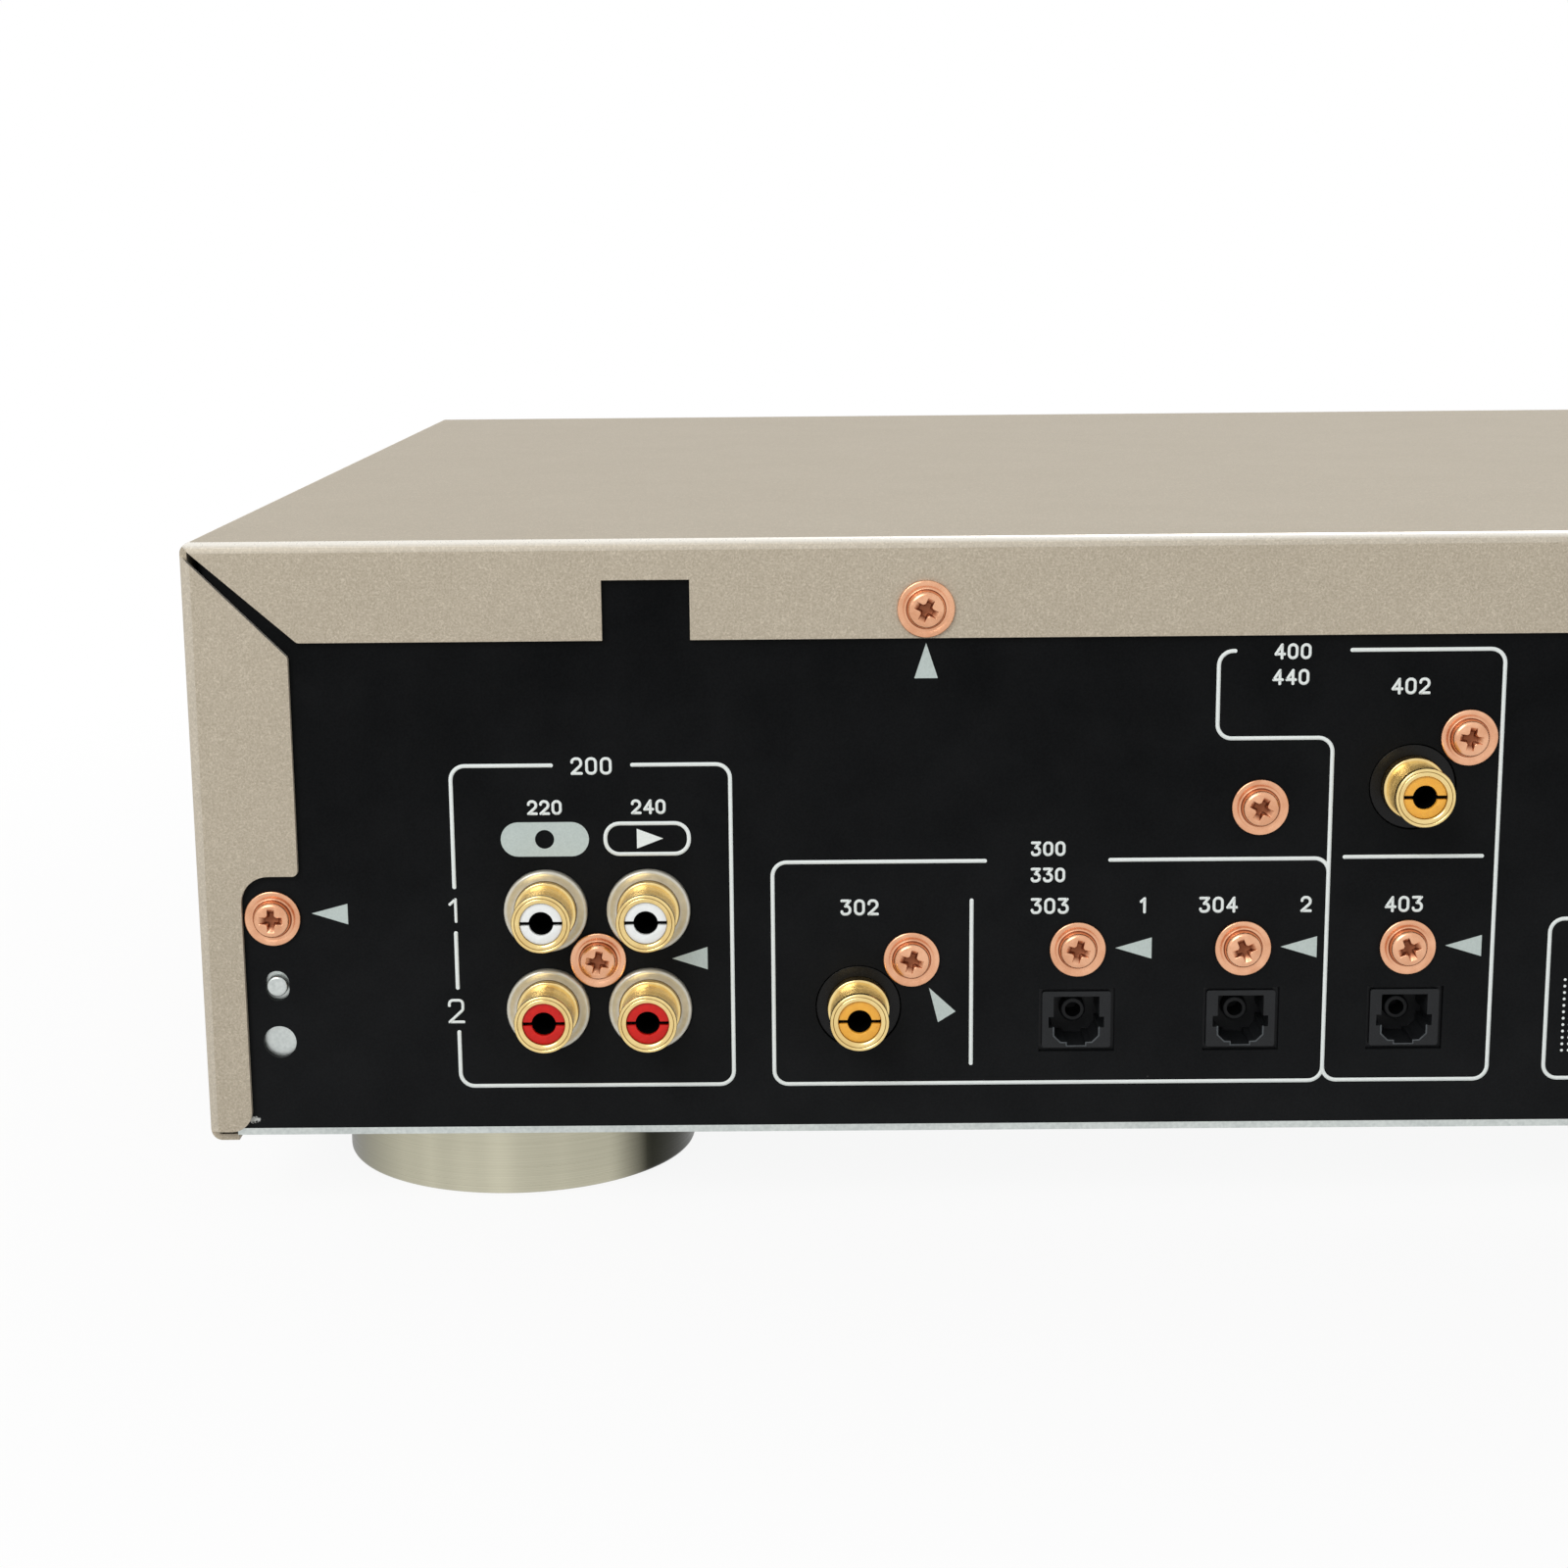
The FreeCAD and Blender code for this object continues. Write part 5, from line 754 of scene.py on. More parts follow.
# %% A tree that grows shapes
class Growth(Sheet):
    """A Geometry Nodes tree with named inputs."""

    def __init__(self, name, inputs):
        super().__init__(bpy.data.node_groups.new(name, "GeometryNodeTree"))
        face = self.tree.interface
        face.new_socket("Geometry", in_out="INPUT", socket_type="NodeSocketGeometry")
        self.keys = {label: face.new_socket(label, in_out="INPUT", socket_type=kind).identifier
                     for label, kind in inputs.items()}
        face.new_socket("Geometry", in_out="OUTPUT", socket_type="NodeSocketGeometry")
        self.entry = self.tree.nodes.new("NodeGroupInput")
        self.exit = self.tree.nodes.new("NodeGroupOutput")

    def given(self, label):
        return Wire(self, self.entry.outputs[label])

    def finish(self, geometry):
        real = self.node("GeometryNodeRealizeInstances", {}, {"Geometry": geometry})
        coated = self.node("GeometryNodeSetMaterial", {},
                           {"Geometry": real, "Material": self.given("Finish")})
        self.tree.links.new(coated.socket, self.exit.inputs[0])

    def grow(self, mesh, values):
        """The tree run on a mesh, as a plain mesh."""
        inputs = {self.keys[label]: value for label, value in values.items()}
        return settled(mesh, [("NODES", {"node_group": self.tree, **inputs})])


print("a tree runs as a modifier and leaves a plain mesh")

# %% [markdown]
# The deck has many like pieces: screws, jacks, feet, ribs, segments. Copies could be placed by a
# Python loop, but a tree keeps the piece, the points and the seed apart. Each point carries the
# direction that the piece's Z should take and its turn about it; a seeded random turn can be
# added, which is what makes a row of screws look driven in by hand.

# %% A tree that sets one piece at many points
def setting_tree():
    tree = Growth("set_at_points", {"Piece": "NodeSocketObject", "Random turn": "NodeSocketFloat",
                                    "Seed": "NodeSocketInt", "Finish": "NodeSocketMaterial"})
    out = tree.node("GeometryNodeInputNamedAttribute", {"data_type": "FLOAT_VECTOR"}, {"Name": "out"})
    turn = tree.node("GeometryNodeInputNamedAttribute", {"data_type": "FLOAT"}, {"Name": "turn"})
    upright = tree.node("FunctionNodeAlignRotationToVector", {"axis": "Z"}, {"Vector": out})
    chance = tree.node("FunctionNodeRandomValue", {"data_type": "FLOAT"},
                       {"Min": 0.0, "Max": 1.0, "Seed": tree.given("Seed")})
    angle = turn + chance * tree.given("Random turn")
    spin = tree.node("ShaderNodeCombineXYZ", {}, {"Z": angle})
    twist = tree.node("FunctionNodeEulerToRotation", {}, {0: spin})
    rotation = tree.node("FunctionNodeRotateRotation", {"rotation_space": "LOCAL"},
                         {"Rotation": upright, "Rotate By": twist})
    source = tree.node("GeometryNodeObjectInfo", {}, {"Object": tree.given("Piece")}, "Geometry")
    placed = tree.node("GeometryNodeInstanceOnPoints", {},
                       {"Points": tree.given("Geometry"), "Instance": source, "Rotation": rotation})
    tree.finish(placed)
    return tree


setting = setting_tree()


def set_at(mesh, points, finish, random_turn=0.0, seed=0):
    """A mesh repeated at (place, direction, turn) points by the tree."""
    seeds = bpy.data.meshes.new("points")
    seeds.from_pydata([place for place, _, _ in points], [], [])
    seeds.attributes.new("out", "FLOAT_VECTOR", "POINT")
    seeds.attributes.new("turn", "FLOAT", "POINT")
    for i, (_, direction, angle) in enumerate(points):
        seeds.attributes["out"].data[i].vector = direction
        seeds.attributes["turn"].data[i].value = angle
    model = added("model", mesh)
    result = setting.grow(seeds, {"Piece": model, "Random turn": random_turn, "Seed": seed,
                                  "Finish": finishes[finish]})
    bpy.data.objects.remove(model)
    return result


print("tree inputs:", ", ".join(setting.keys))

# %% [markdown]
# ## The copper screws
# Each is a pan-head screw with a fixed washer: a flat flange with a raised rim, a groove, then a
# domed head with a cross recess whose arms taper inwards. The head is lathe work, and the recess
# is cut with a tapering cross by a Boolean before the tree sets the screws in their holes: bump
# alone would not throw a shadow into it. The recess and the groove are marked for the plating to
# darken there, as tarnish and as painted shade.

# %% Turn one screw and cut its recess
SHANK, SHANK_LONG = 1.5, 7.0
FLANGE, FLANGE_HIGH = 3.9, 0.6
DOME_TOP, DOME_FOOT, DOME_ROUND = 1.95, 1.10, 0.70
GROOVE = (2.60, 2.80)
RECESS = 1.9


def cross_outline(reach, half, nip):
    """A plus sign whose inner corners are cut across."""
    arm = [(reach, -half), (reach, half), (half + nip, half), (half, half + nip)]
    return [(x * c - y * s, x * s + y * c)
            for c, s in ((1, 0), (0, 1), (-1, 0), (0, -1)) for x, y in arm]


def hollow_in_screw(x, y, z):
    """Painted shade and tarnish: 0.9 at the recess's floor and in the groove round the head, 0 on the
    open faces.
    """
    radius = math.hypot(x, y)
    if radius < RECESS:
        return min(0.9, max(0.0, (1.80 - z) / 0.9))
    return 0.9 if GROOVE[0] < radius < GROOVE[1] and z < 0.8 else 0.0


def screw_mesh():
    """A screw with its seat at height 0 and its head towards Z."""
    profile = [(0, -SHANK_LONG), (SHANK - 0.3, -SHANK_LONG), (SHANK, 0.4 - SHANK_LONG),
               (SHANK, -0.05), (FLANGE, -0.05)]
    profile += arc(FLANGE - 0.15, FLANGE_HIGH - 0.25, 0.25, 0, 90, 4)
    profile += [(3.45, 0.58), (3.18, 0.50), (2.95, 0.42), (2.78, 0.45), (2.66, 0.62), (2.62, 1.10)]
    profile += arc(1.90, DOME_FOOT, DOME_ROUND, 10, 78, 6)
    profile += [(1.4, DOME_TOP - 0.08), (0.7, DOME_TOP - 0.02), (0, DOME_TOP)]
    cross = prism(cross_outline(1.95, 0.56, 0.26), 2.2, 0.75, cross_outline(0.95, 0.34, 0.14))
    cutter = added("cutter", cross)
    cut = settled(lathe(profile, 56), [("BOOLEAN", {"object": cutter, "operation": "DIFFERENCE",
                                                    "solver": "EXACT"})])
    bpy.data.objects.remove(cutter)
    return marked(smooth(settled(cut, [ease(0.05, 1, 40)]), 40), "hollow", hollow_in_screw)


screw = screw_mesh()
print("one screw:", len(screw.polygons), "faces")

# %% [markdown]
# A CAD screw's box is square across the head and long along the shank, so the odd side out gives
# its axis and the side of the deck gives its direction. The seat lies one head's height in. Read
# from the solids in this way, no screw's place has to be typed in.

# %% Set the screws in their holes
def screw_seats(node):
    """(seat, direction, turn) of every screw in a node."""
    seats = []
    for low, high in islands(node):
        size = high - low
        seat = (low + high) / 2
        axis = max(range(3), key=lambda i: abs(size[i] - sorted(size)[1]))
        sign = 1 if seat[axis] > 0 else -1
        seat[axis] = (high[axis] if sign > 0 else low[axis]) - sign * DOME_TOP * MM
        seats.append((seat, Vector([sign if i == axis else 0 for i in range(3)]), 0.0))
    return seats


QUARTER_TURN = math.pi / 2
for node, seed in (("panel_screws", 3), ("cover_screws", 4)):
    seats = screw_seats(node)
    mesh = set_at(screw, seats, "copper_plate", QUARTER_TURN, seed)
    piece(node.replace("screws", "copper_screws"), mesh, "copper_plate", stands_for=(node,))
    print(node, len(seats), "screws at y =", [round(s.y / MM, 1) for s, _, _ in seats])

# %% [markdown]
# ## The pin jacks
# A line jack is a gold-plated barrel with a rolled lip and a fine groove inside it, a coloured
# insulator with a pin hole and a slit across its face, and a pale ring round its root. The two
# single jacks stand in a black moulded ring instead. The CAD barrel is plainer, so the barrel is
# turned anew, once, and the tree sets it six times.

# %% Barrels and rings
BARREL, BORE, ROOT, NECK, REACH = 4.15, 2.95, 4.40, 4.02, 8.0
RING, RING_HIGH, RING_ROUND, RING_DISH = 5.93, 0.9, 0.42, 0.25


def hollow_in_barrel(x, y, z):
    """Painted shade and tarnish: 0.9 in the groove of the lip and inside the bore, less round the root
    where it meets its ring.
    """
    radius = math.hypot(x, y)
    if z < 1.5:
        return 0.5
    return 0.9 if z > 6.5 and (radius < BORE + 0.02 or 3.6 < radius < 3.72) else 0.0


def barrel_mesh():
    """The plated barrel, from the panel's face outwards, open into its bore."""
    profile = [(BORE, -5.0), (BARREL, -5.0), (BARREL, -1.0), (ROOT, -1.0)]
    profile += arc(ROOT - 0.2, 1.4, 0.2, 0, 90, 3)
    profile += [(NECK, 1.62), (NECK, REACH - 1.35), (BARREL - 0.03, REACH - 1.1)]
    profile += arc(BARREL - 0.26, REACH - 0.26, 0.26, 0, 125, 8)
    profile += [(3.66, REACH - 0.14), (3.58, REACH - 0.06), (3.42, REACH - 0.04),
                (3.12, REACH - 0.16), (3.02, REACH - 0.24), (BORE, REACH - 0.36), (BORE, REACH - 0.7)]
    return marked(smooth(lathe(profile, 96, True), 40), "hollow", hollow_in_barrel)


def ring_mesh():
    """A collar with a rounded outer edge and a slightly dished face."""
    dished = RING_HIGH - RING_DISH
    profile = [(ROOT, -1.0), (RING, -1.0)]
    profile += arc(RING - RING_ROUND, RING_HIGH - RING_ROUND, RING_ROUND, 0, 90, 6)
    profile += [(RING - 0.7, RING_HIGH - RING_DISH * 0.5), (ROOT + 0.35, dished),
                (ROOT + 0.08, dished), (ROOT, dished - 0.12)]
    return smooth(lathe(profile, 96, True), 40)


def jack_seats(node):
    """Each jack of a node as a point of the panel's face."""
    middles = [(low + high) / 2 for low, high in islands(node)]
    return [(Vector((middle.x, PANEL_Y, middle.z)), OUT, 0.0) for middle in middles]


line_seats = jack_seats("line_jack_shells")
coax_seats = jack_seats("coax_jack_shells")
for name, seats, shape, slot, node in (
        ("line_barrels", line_seats, barrel_mesh, "gold_plate", "line_jack_shells"),
        ("coax_barrels", coax_seats, barrel_mesh, "gold_plate", "coax_jack_shells"),
        ("line_rings", line_seats, ring_mesh, "cream_plastic", "line_jack_collars")):
    piece(name, set_at(shape(), seats, slot), slot, stands_for=(node,))
print(len(line_seats), "line jacks and", len(coax_seats), "coaxial jacks")

# %% [markdown]
# An insulator's face is two half rings with a narrow slit between them. Each half is drawn as an
# outline of two arcs and thickened, and its edges are eased so that they catch a thin line of
# light. A well in the blackest black behind them is painted shade for the inside of the contact's
# bore.

# %% Insulators
PIN_HOLE, SLIT, FACE, THICK = 1.70, 0.54, 7.5, 0.7
SLEEVE, WELL = PIN_HOLE + 0.3, BORE - 0.02


def half_ring(sign):
    """Outline of the insulator's upper (1) or lower (-1) half."""
    outer, inner = [math.degrees(math.asin(SLIT / 2 / radius)) for radius in (BORE, PIN_HOLE)]
    points = arc(0, 0, BORE, outer, 180 - outer, 28) + arc(0, 0, PIN_HOLE, 180 - inner, inner, 28)
    return [(x, sign * y) for x, y in points]


def insulator_mesh():
    halves = [settled(prism(half_ring(sign), FACE - THICK, FACE), [ease(0.06, 2, 50)])
              for sign in (1, -1)]
    sleeve = lathe([(SLEEVE, -5), (BORE, -5), (BORE, FACE - 1.7), (SLEEVE, FACE - 1.7)], 64, True)
    return smooth(gathered(halves + [sleeve]), 40)


def well_mesh():
    """Painted shade: a black well for the inside of the contact bore behind an insulator's face."""
    return smooth(lathe([(0, -1.0), (SLEEVE, -1.0), (SLEEVE, FACE - 1.5), (WELL, FACE - 1.5),
                         (WELL, FACE - 1.35), (PIN_HOLE + 0.1, FACE - 1.35), (PIN_HOLE + 0.1, -0.8),
                         (0, -0.8)], 48))


for node, slot in (("line_jack_inserts_white", "white_plastic"),
                   ("line_jack_inserts_red", "red_plastic"), ("coax_jack_inserts", "amber_plastic")):
    seats = jack_seats(node)
    piece(node.replace("inserts", "insulators"), set_at(insulator_mesh(), seats, slot), slot,
          stands_for=(node,))
    print(node, len(seats))
# Painted shade: a black well inside each jack.
bore_shades = set_at(well_mesh(), line_seats + coax_seats, "bore_black")
piece("jack_wells", bore_shades, "black_plastic", finish="bore_black")

# %% [markdown]
# The mouldings behind the panel keep their CAD shapes: the block of the line jacks, the bases of
# the single jacks and the three optical sockets. Their edges are eased, which is what makes black
# on black readable: each rim shows as a thin grey line.

# %% Mouldings at the rear
dressed("coax_jack_bases", 0.15, finish="gloss_black")
for node, edge in (("line_jack_block", 0.2), ("optical_inputs", 0.16), ("optical_output", 0.16),
                   ("mains_inlet", 0.25), ("control_jacks", 0.1), ("mains_pins", 0.0)):
    dressed(node, edge)

# %% [markdown]
# ## Feet
# Each foot is a turned cup with a bevel at both rims and a pad let into its underside. The profile
# is spun once and the tree sets it four times. Turned metal mirrors the room in upright bands, and
# an evenly lit room gives none, so the bands are marked on the mesh by bearing: two wide shaded
# ones and a few narrow gleams.

# %% Feet
FOOT, FOOT_HIGH, FOOT_LOW = 27.0, 13.1, 0.4
FOOT_TUBE, FOOT_DECK, PAD_SEAT = 15.0, 10.1, 23.3
GLEAMS = ((178, 5.0, 1.0), (167, 4.0, 0.5), (155, 3.0, 0.6), (18, 3.0, 0.3))
FOOT_GREY = 0.15


def band_on_foot(x, y, z):
    """How dark the painted reflection makes the turned side at a bearing, from 0 to 1; gleams are
    painted highlights given as (bearing, width, strength).
    """
    bearing = math.degrees(math.atan2(-x, y)) % 180
    shade = min(1.0, max(0.0, (bearing - 32) / 18)) * min(1.0, max(0.0, (152 - bearing) / 50))
    gleam = sum(share * math.exp(-(((bearing - at + 90) % 180 - 90) / wide) ** 2)
                for at, wide, share in GLEAMS)
    return max(FOOT_GREY * (1 - gleam), shade)


def foot_mesh():
    profile = [(FOOT_TUBE, FOOT_DECK), (FOOT_TUBE, FOOT_HIGH), (FOOT - 0.6, FOOT_HIGH),
               (FOOT - 0.15, FOOT_HIGH - 0.15), (FOOT, FOOT_HIGH - 0.6)]
    profile += arc(FOOT - 0.7, FOOT_LOW + 0.7, 0.7, 0, -90, 5)
    profile += [(PAD_SEAT + 0.1, FOOT_LOW), (PAD_SEAT, FOOT_LOW + 0.2), (PAD_SEAT, 2.0), (12, 2.0),
                (12, FOOT_DECK)]
    return marked(smooth(lathe(profile, 160, True), 30), "away", band_on_foot)


foot_seats = [(Vector(((low.x + high.x) / 2, (low.y + high.y) / 2, 0)), Vector((0, 0, 1)), 0.0)
              for low, high in islands("feet")]
piece("turned_feet", set_at(foot_mesh(), foot_seats, "turned_champagne"), "champagne_aluminium",
      stands_for=("feet",), finish="turned_champagne")
dressed("foot_pads")
print(len(foot_seats), "feet")

# %% [markdown]
# ## The panel's print
# Thin white frames group the sockets. A frame's line is a stroke of ink half a millimetre wide,
# with round corners and round ends. It could be a picture on the panel, but a raised stroke stays
# sharp at any distance. The corner points are joined into edges, and a tree turns them into
# curves, rounds their corners and sweeps a flat section along them. Where strokes cross they lie
# at slightly different heights, as coats of ink do, so no two faces coincide.

# %% A tree that draws strokes of ink
INK_HIGH, COAT = 0.03, 0.003
STROKE, FRAME_CORNER = 0.55, 2.0


def stroke_tree():
    tree = Growth("ink_strokes", {"Width": "NodeSocketFloat", "Height": "NodeSocketFloat",
                                  "Corner": "NodeSocketFloat", "Finish": "NodeSocketMaterial"})
    line = tree.node("GeometryNodeMeshToCurve", {}, {"Mesh": tree.given("Geometry")})
    normal = tree.node("GeometryNodeSetCurveNormal", {"mode": "Z_UP"}, {"Curve": line})
    round_line = tree.node("GeometryNodeFilletCurve", {"mode": "POLY"},
                           {"Curve": normal, "Count": 8, "Radius": tree.given("Corner"),
                            "Limit Radius": True})
    section = tree.node("GeometryNodeCurvePrimitiveQuadrilateral", {"mode": "RECTANGLE"},
                        {"Width": tree.given("Width"), "Height": tree.given("Height")})
    swept = tree.node("GeometryNodeCurveToMesh", {},
                      {"Curve": round_line, "Profile Curve": section, "Fill Caps": True})
    ends = tree.node("GeometryNodeCurveEndpointSelection", {}, {"Start Size": 1, "End Size": 1})
    dot = tree.node("GeometryNodeMeshCylinder", {},
                    {"Vertices": 20, "Radius": tree.given("Width") * 0.5,
                     "Depth": tree.given("Height") * 0.6})
    caps = tree.node("GeometryNodeInstanceOnPoints", {},
                     {"Points": round_line, "Selection": ends, "Instance": dot})
    tree.finish(tree.node("GeometryNodeJoinGeometry", {}, {"Geometry": [caps, swept]}))
    return tree


strokes = stroke_tree()


def ink_lines(lines, width, corner, finish):
    """Polylines in mm drawn as strokes, flat in XY."""
    points, edges = [], []
    for line in lines:
        first = len(points)
        lift = COAT * (first % 7)
        points += [(x * MM, y * MM, lift * MM) for x, y in line]
        edges += [(first + i, first + i + 1) for i in range(len(line) - 1)]
    mesh = bpy.data.meshes.new("lines")
    mesh.from_pydata(points, edges, [])
    return strokes.grow(mesh, {"Width": width * MM, "Height": INK_HIGH * MM, "Corner": corner * MM,
                               "Finish": finishes[finish]})


print("stroke inputs:", ", ".join(strokes.keys))

# %% [markdown]
# The frames of the panel are ten strokes. Each is a list of corners in millimetres on the panel,
# with gaps where numbers stand in the line. A frame that meets another shares its line.

# %% The frames of the panel
panel_lines = [
    [(50.56, 52.93), (36.43, 52.93), (36.43, 35.5)], [(36.43, 28.8), (36.43, 20.75)],
    [(36.43, 14.2), (36.43, 6.13), (75.63, 6.13), (75.63, 52.93), (61.95, 52.93)],
    [(111.4, 38.73), (81.43, 38.73), (81.43, 6.08), (159.8, 6.08), (159.8, 16)],
    [(129.05, 38.73), (159.8, 38.73), (159.8, 28)], [(109.55, 33.0), (109.55, 9.0)],
    [(145.9, 68.33), (143.68, 68.33), (143.68, 56.0), (159.8, 56.0), (159.8, 6.15), (183.33, 6.15),
     (183.33, 68.33), (162.1, 68.33)],
    [(162.0, 38.9), (181.3, 38.9)],
    [(222, 29.7), (191.4, 29.7), (191.4, 6.2), (258, 6.2), (258, 29.7), (232, 29.7)],
    [(57.97, 42.33), (57.97, 40.12), (69.73, 40.12), (69.73, 44.53), (57.97, 44.53), (57.97, 42.33)],
]
print(len(panel_lines), "strokes on the panel")

# %% [markdown]
# Where the real panel has words, this one has plain numbers for its groups and sockets, and the
# usual signs for record and play. A figure is drawn as a sign writer's stencil would have it: a
# few strokes on a grid one unit high, their corners rounded by the same tree as the frames.
# A font would do too, but its thin strokes would not match the ink of the frames.

# %% Numbers, pills and arrows
FIGURES = {
    "0": [[(0.3, 1), (0, 1), (0, 0), (0.6, 0), (0.6, 1), (0.3, 1)]],
    "1": [[(0.15, 0.78), (0.4, 1)], [(0.4, 1), (0.4, 0)]],
    "2": [[(0, 0.76), (0, 1), (0.6, 1), (0.6, 0.56), (0, 0)], [(0, 0), (0.62, 0)]],
    "3": [[(0, 1), (0.58, 1)], [(0.58, 1), (0.26, 0.6)],
          [(0.26, 0.6), (0.6, 0.6), (0.6, 0), (0, 0), (0, 0.2)]],
    "4": [[(0.46, 0), (0.46, 1)], [(0.46, 1), (0, 0.3)], [(0, 0.3), (0.64, 0.3)]],
    "5": [[(0.56, 1), (0.06, 1)], [(0.06, 1), (0.03, 0.58)],
          [(0.03, 0.58), (0.6, 0.58), (0.6, 0), (0, 0), (0, 0.2)]],
}
FIGURE_PITCH, FIGURE_WIDE = 0.98, 0.6
FIGURE_STROKE, FIGURE_CORNER = 0.40, 0.55


def number(text, x, y, high):
    """Strokes of a number of a height in mm, centred on a point."""
    left = x - (FIGURE_PITCH * (len(text) - 1) + FIGURE_WIDE) * high / 2
    return [[(left + (FIGURE_PITCH * i + u) * high, y + (v - 0.5) * high) for u, v in stroke]
            for i, figure in enumerate(text) for stroke in FIGURES[figure]]


def flat(outline):
    """A filled patch of ink."""
    return prism(outline, -INK_HIGH / 2, INK_HIGH / 2)


def pill(x0, x1, y0, y1):
    """Outline of a bar with round ends."""
    radius, middle = (y1 - y0) / 2, (y0 + y1) / 2
    return arc(x1 - radius, middle, radius, -90, 90, 14) + arc(x0 + radius, middle, radius, 90, 270, 14)


def disc(x, y, radius, count=24):
    return arc(x, y, radius, 0, 360, count)[:-1]


print(len(number("200", 0, 0, 1)), "strokes in a group's number")

# %% [markdown]
# Each number has its text, its place and its height, all in millimetres on the panel. Arrows point
# at the screws to take out, and the patch of dots is plain texture. Lists keep the layout in one
# place, where it can be read like the drawing for a printing screen.

# %% Where the print goes
panel_numbers = [("200", 56.2, 52.8, 2.1), ("220", 49.5, 46.9, 1.75), ("240", 64.1, 46.9, 1.75),
                 ("1", 36.2, 32.1, 3.2), ("2", 36.1, 17.3, 3.2), ("300", 120.3, 40.4, 1.75),
                 ("330", 120.3, 36.6, 1.75), ("302", 93.7, 32.1, 1.95), ("303", 120.6, 32.1, 1.95),
                 ("1", 133.8, 32.1, 1.95), ("304", 144.4, 32.1, 1.95), ("2", 156.8, 32.1, 1.95),
                 ("400", 153.9, 68.2, 1.85), ("440", 153.7, 64.6, 1.85), ("402", 170.4, 63.2, 1.95),
                 ("403", 170.6, 32.0, 1.95), ("500", 227.0, 29.7, 1.95), ("1", 224.0, 24.4, 1.8),
                 ("2", 244.0, 24.4, 1.8)]
OPTICAL_INSETS = (124.6, 148.0, 171.3)
arrows = [[(103.06, 69.81), (101.43, 64.86), (104.7, 64.86)],
          [(16.07, 31.84), (21.2, 30.2), (21.2, 33.2)],
          [(67.08, 24.84), (72.1, 23.2), (72.1, 26.5)],
          [(103.56, 20.23), (104.83, 15.14), (107.34, 16.72)]]
arrows += [[(x + 5.35, 25.9), (x + 10.5, 24.3), (x + 10.5, 27.4)] for x in OPTICAL_INSETS]
record_pill = pill(43.2, 55.65, 39.85, 44.8)
play_sign = [(62.4, 40.9), (66.1, 42.33), (62.4, 43.76)]
DOT, DOT_PITCH = 0.22, 0.95
dots = [disc(193.9 + DOT_PITCH * i, 10.3 + DOT_PITCH * j, DOT, 6) for i in range(15) for j in range(12)]
print(len(panel_numbers), "numbers,", len(arrows), "arrows and", len(dots), "dots drawn")

# %% [markdown]
# The print is three pieces, one for each ink. Merging the patches keeps the table of pieces short
# and loses nothing, since all of it rides on the chassis. The optical sockets' lips are drawn with
# the same tree in a paler grey, just below the panel's face, as a painted highlight on their lit
# edges.

# %% Print the panel
LIP_RISE, LIP_DEEP, LIP_STROKE = 15.3, 0.2, 0.24

figures = [stroke for place in panel_numbers for stroke in number(*place)]
ink_mesh = gathered([ink_lines(panel_lines, STROKE, FRAME_CORNER, "white_ink"),
                     ink_lines(figures, FIGURE_STROKE, FIGURE_CORNER, "white_ink"),
                     flat(play_sign)] + [flat(dot) for dot in dots])
signs = gathered([flat(outline) for outline in arrows + [record_pill]])
record_sign = prism(disc(49.4, 42.33, 1.35), 0, INK_HIGH)
for name, mesh, slot, finish in (("panel_print", ink_mesh, "white_plastic", "white_ink"),
                                 ("panel_signs", signs, "white_plastic", "silver_ink"),
                                 ("record_sign", record_sign, "black_paint", None)):
    mesh.transform(REAR_SHEET)
    piece(name, mesh, slot, finish=finish)

lip = [(-3.25, -1.2), (-3.25, -2.4), (-2.25, -3.4), (-1.4, -3.4), (-1.4, -3.9), (1.4, -3.9),
       (1.4, -3.4), (2.25, -3.4), (3.25, -2.4), (3.25, -1.2)]
# Painted highlight: pale grey strokes along the lit edges of the optical sockets' lips.
lips = ink_lines([[(x + u, LIP_RISE + v) for u, v in lip] for x in OPTICAL_INSETS], LIP_STROKE, 0.0,
                 "worn_black")
lips.transform(facing(TO_REAR, on_panel(0, 0) - LIP_DEEP * MM * OUT))
piece("optical_lips", lips, "black_plastic", finish="worn_black")
print("print:", len(ink_mesh.polygons), "faces")

# %% [markdown]
# ## The front
# The fascia is a thick brushed plate with the disc slot in a black bezel and a smoked window over
# the display. The solids are right as they are, so clean copies with eased edges are enough. The
# slot's flap and the timer switch ride on bodies of their own, so they move with their joints.

# %% Fascia, bezel and window
for node, edge in (("front_panel", 0.0), ("slot_bezel", 0.15), ("front_frame", 0.0),
                   ("display_window", 0.15), ("headphone_jack", 0.0)):
    dressed(node, edge)
for node in ("slot_door", "timer_switch_knob"):
    dressed(node, 0.1, node)

# %% [markdown]
# A socket is dark inside, because its lining is black and its springs sit deep in shade. The
# headphone socket gets a thin lining in the blackest black, closed at its inner end, from just
# inside its nut, so it is black plastic and painted shade at once.

# %% The headphone socket's lining
PHONES_BORE, LINING, LINING_LONG = 3.2, 0.04, 18.0
LINING_END, LINING_INSET = 1.0, 1.2


def front_of(node):
    """The middle of a node's front face."""
    low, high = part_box(node)
    return Vector(((low.x + high.x) / 2, low.y, (low.z + high.z) / 2))


lining = lathe([(0, LINING_END), (PHONES_BORE - LINING, LINING_END),
                (PHONES_BORE - LINING, LINING_LONG), (PHONES_BORE - 3 * LINING, LINING_LONG),
                (PHONES_BORE - 3 * LINING, LINING_END + 0.4), (0, LINING_END + 0.4)], 64)
lining.transform(facing(TO_FRONT, front_of("headphone_jack")) @
                 Matrix.Translation((0, 0, -(LINING_LONG + LINING_INSET) * MM)))
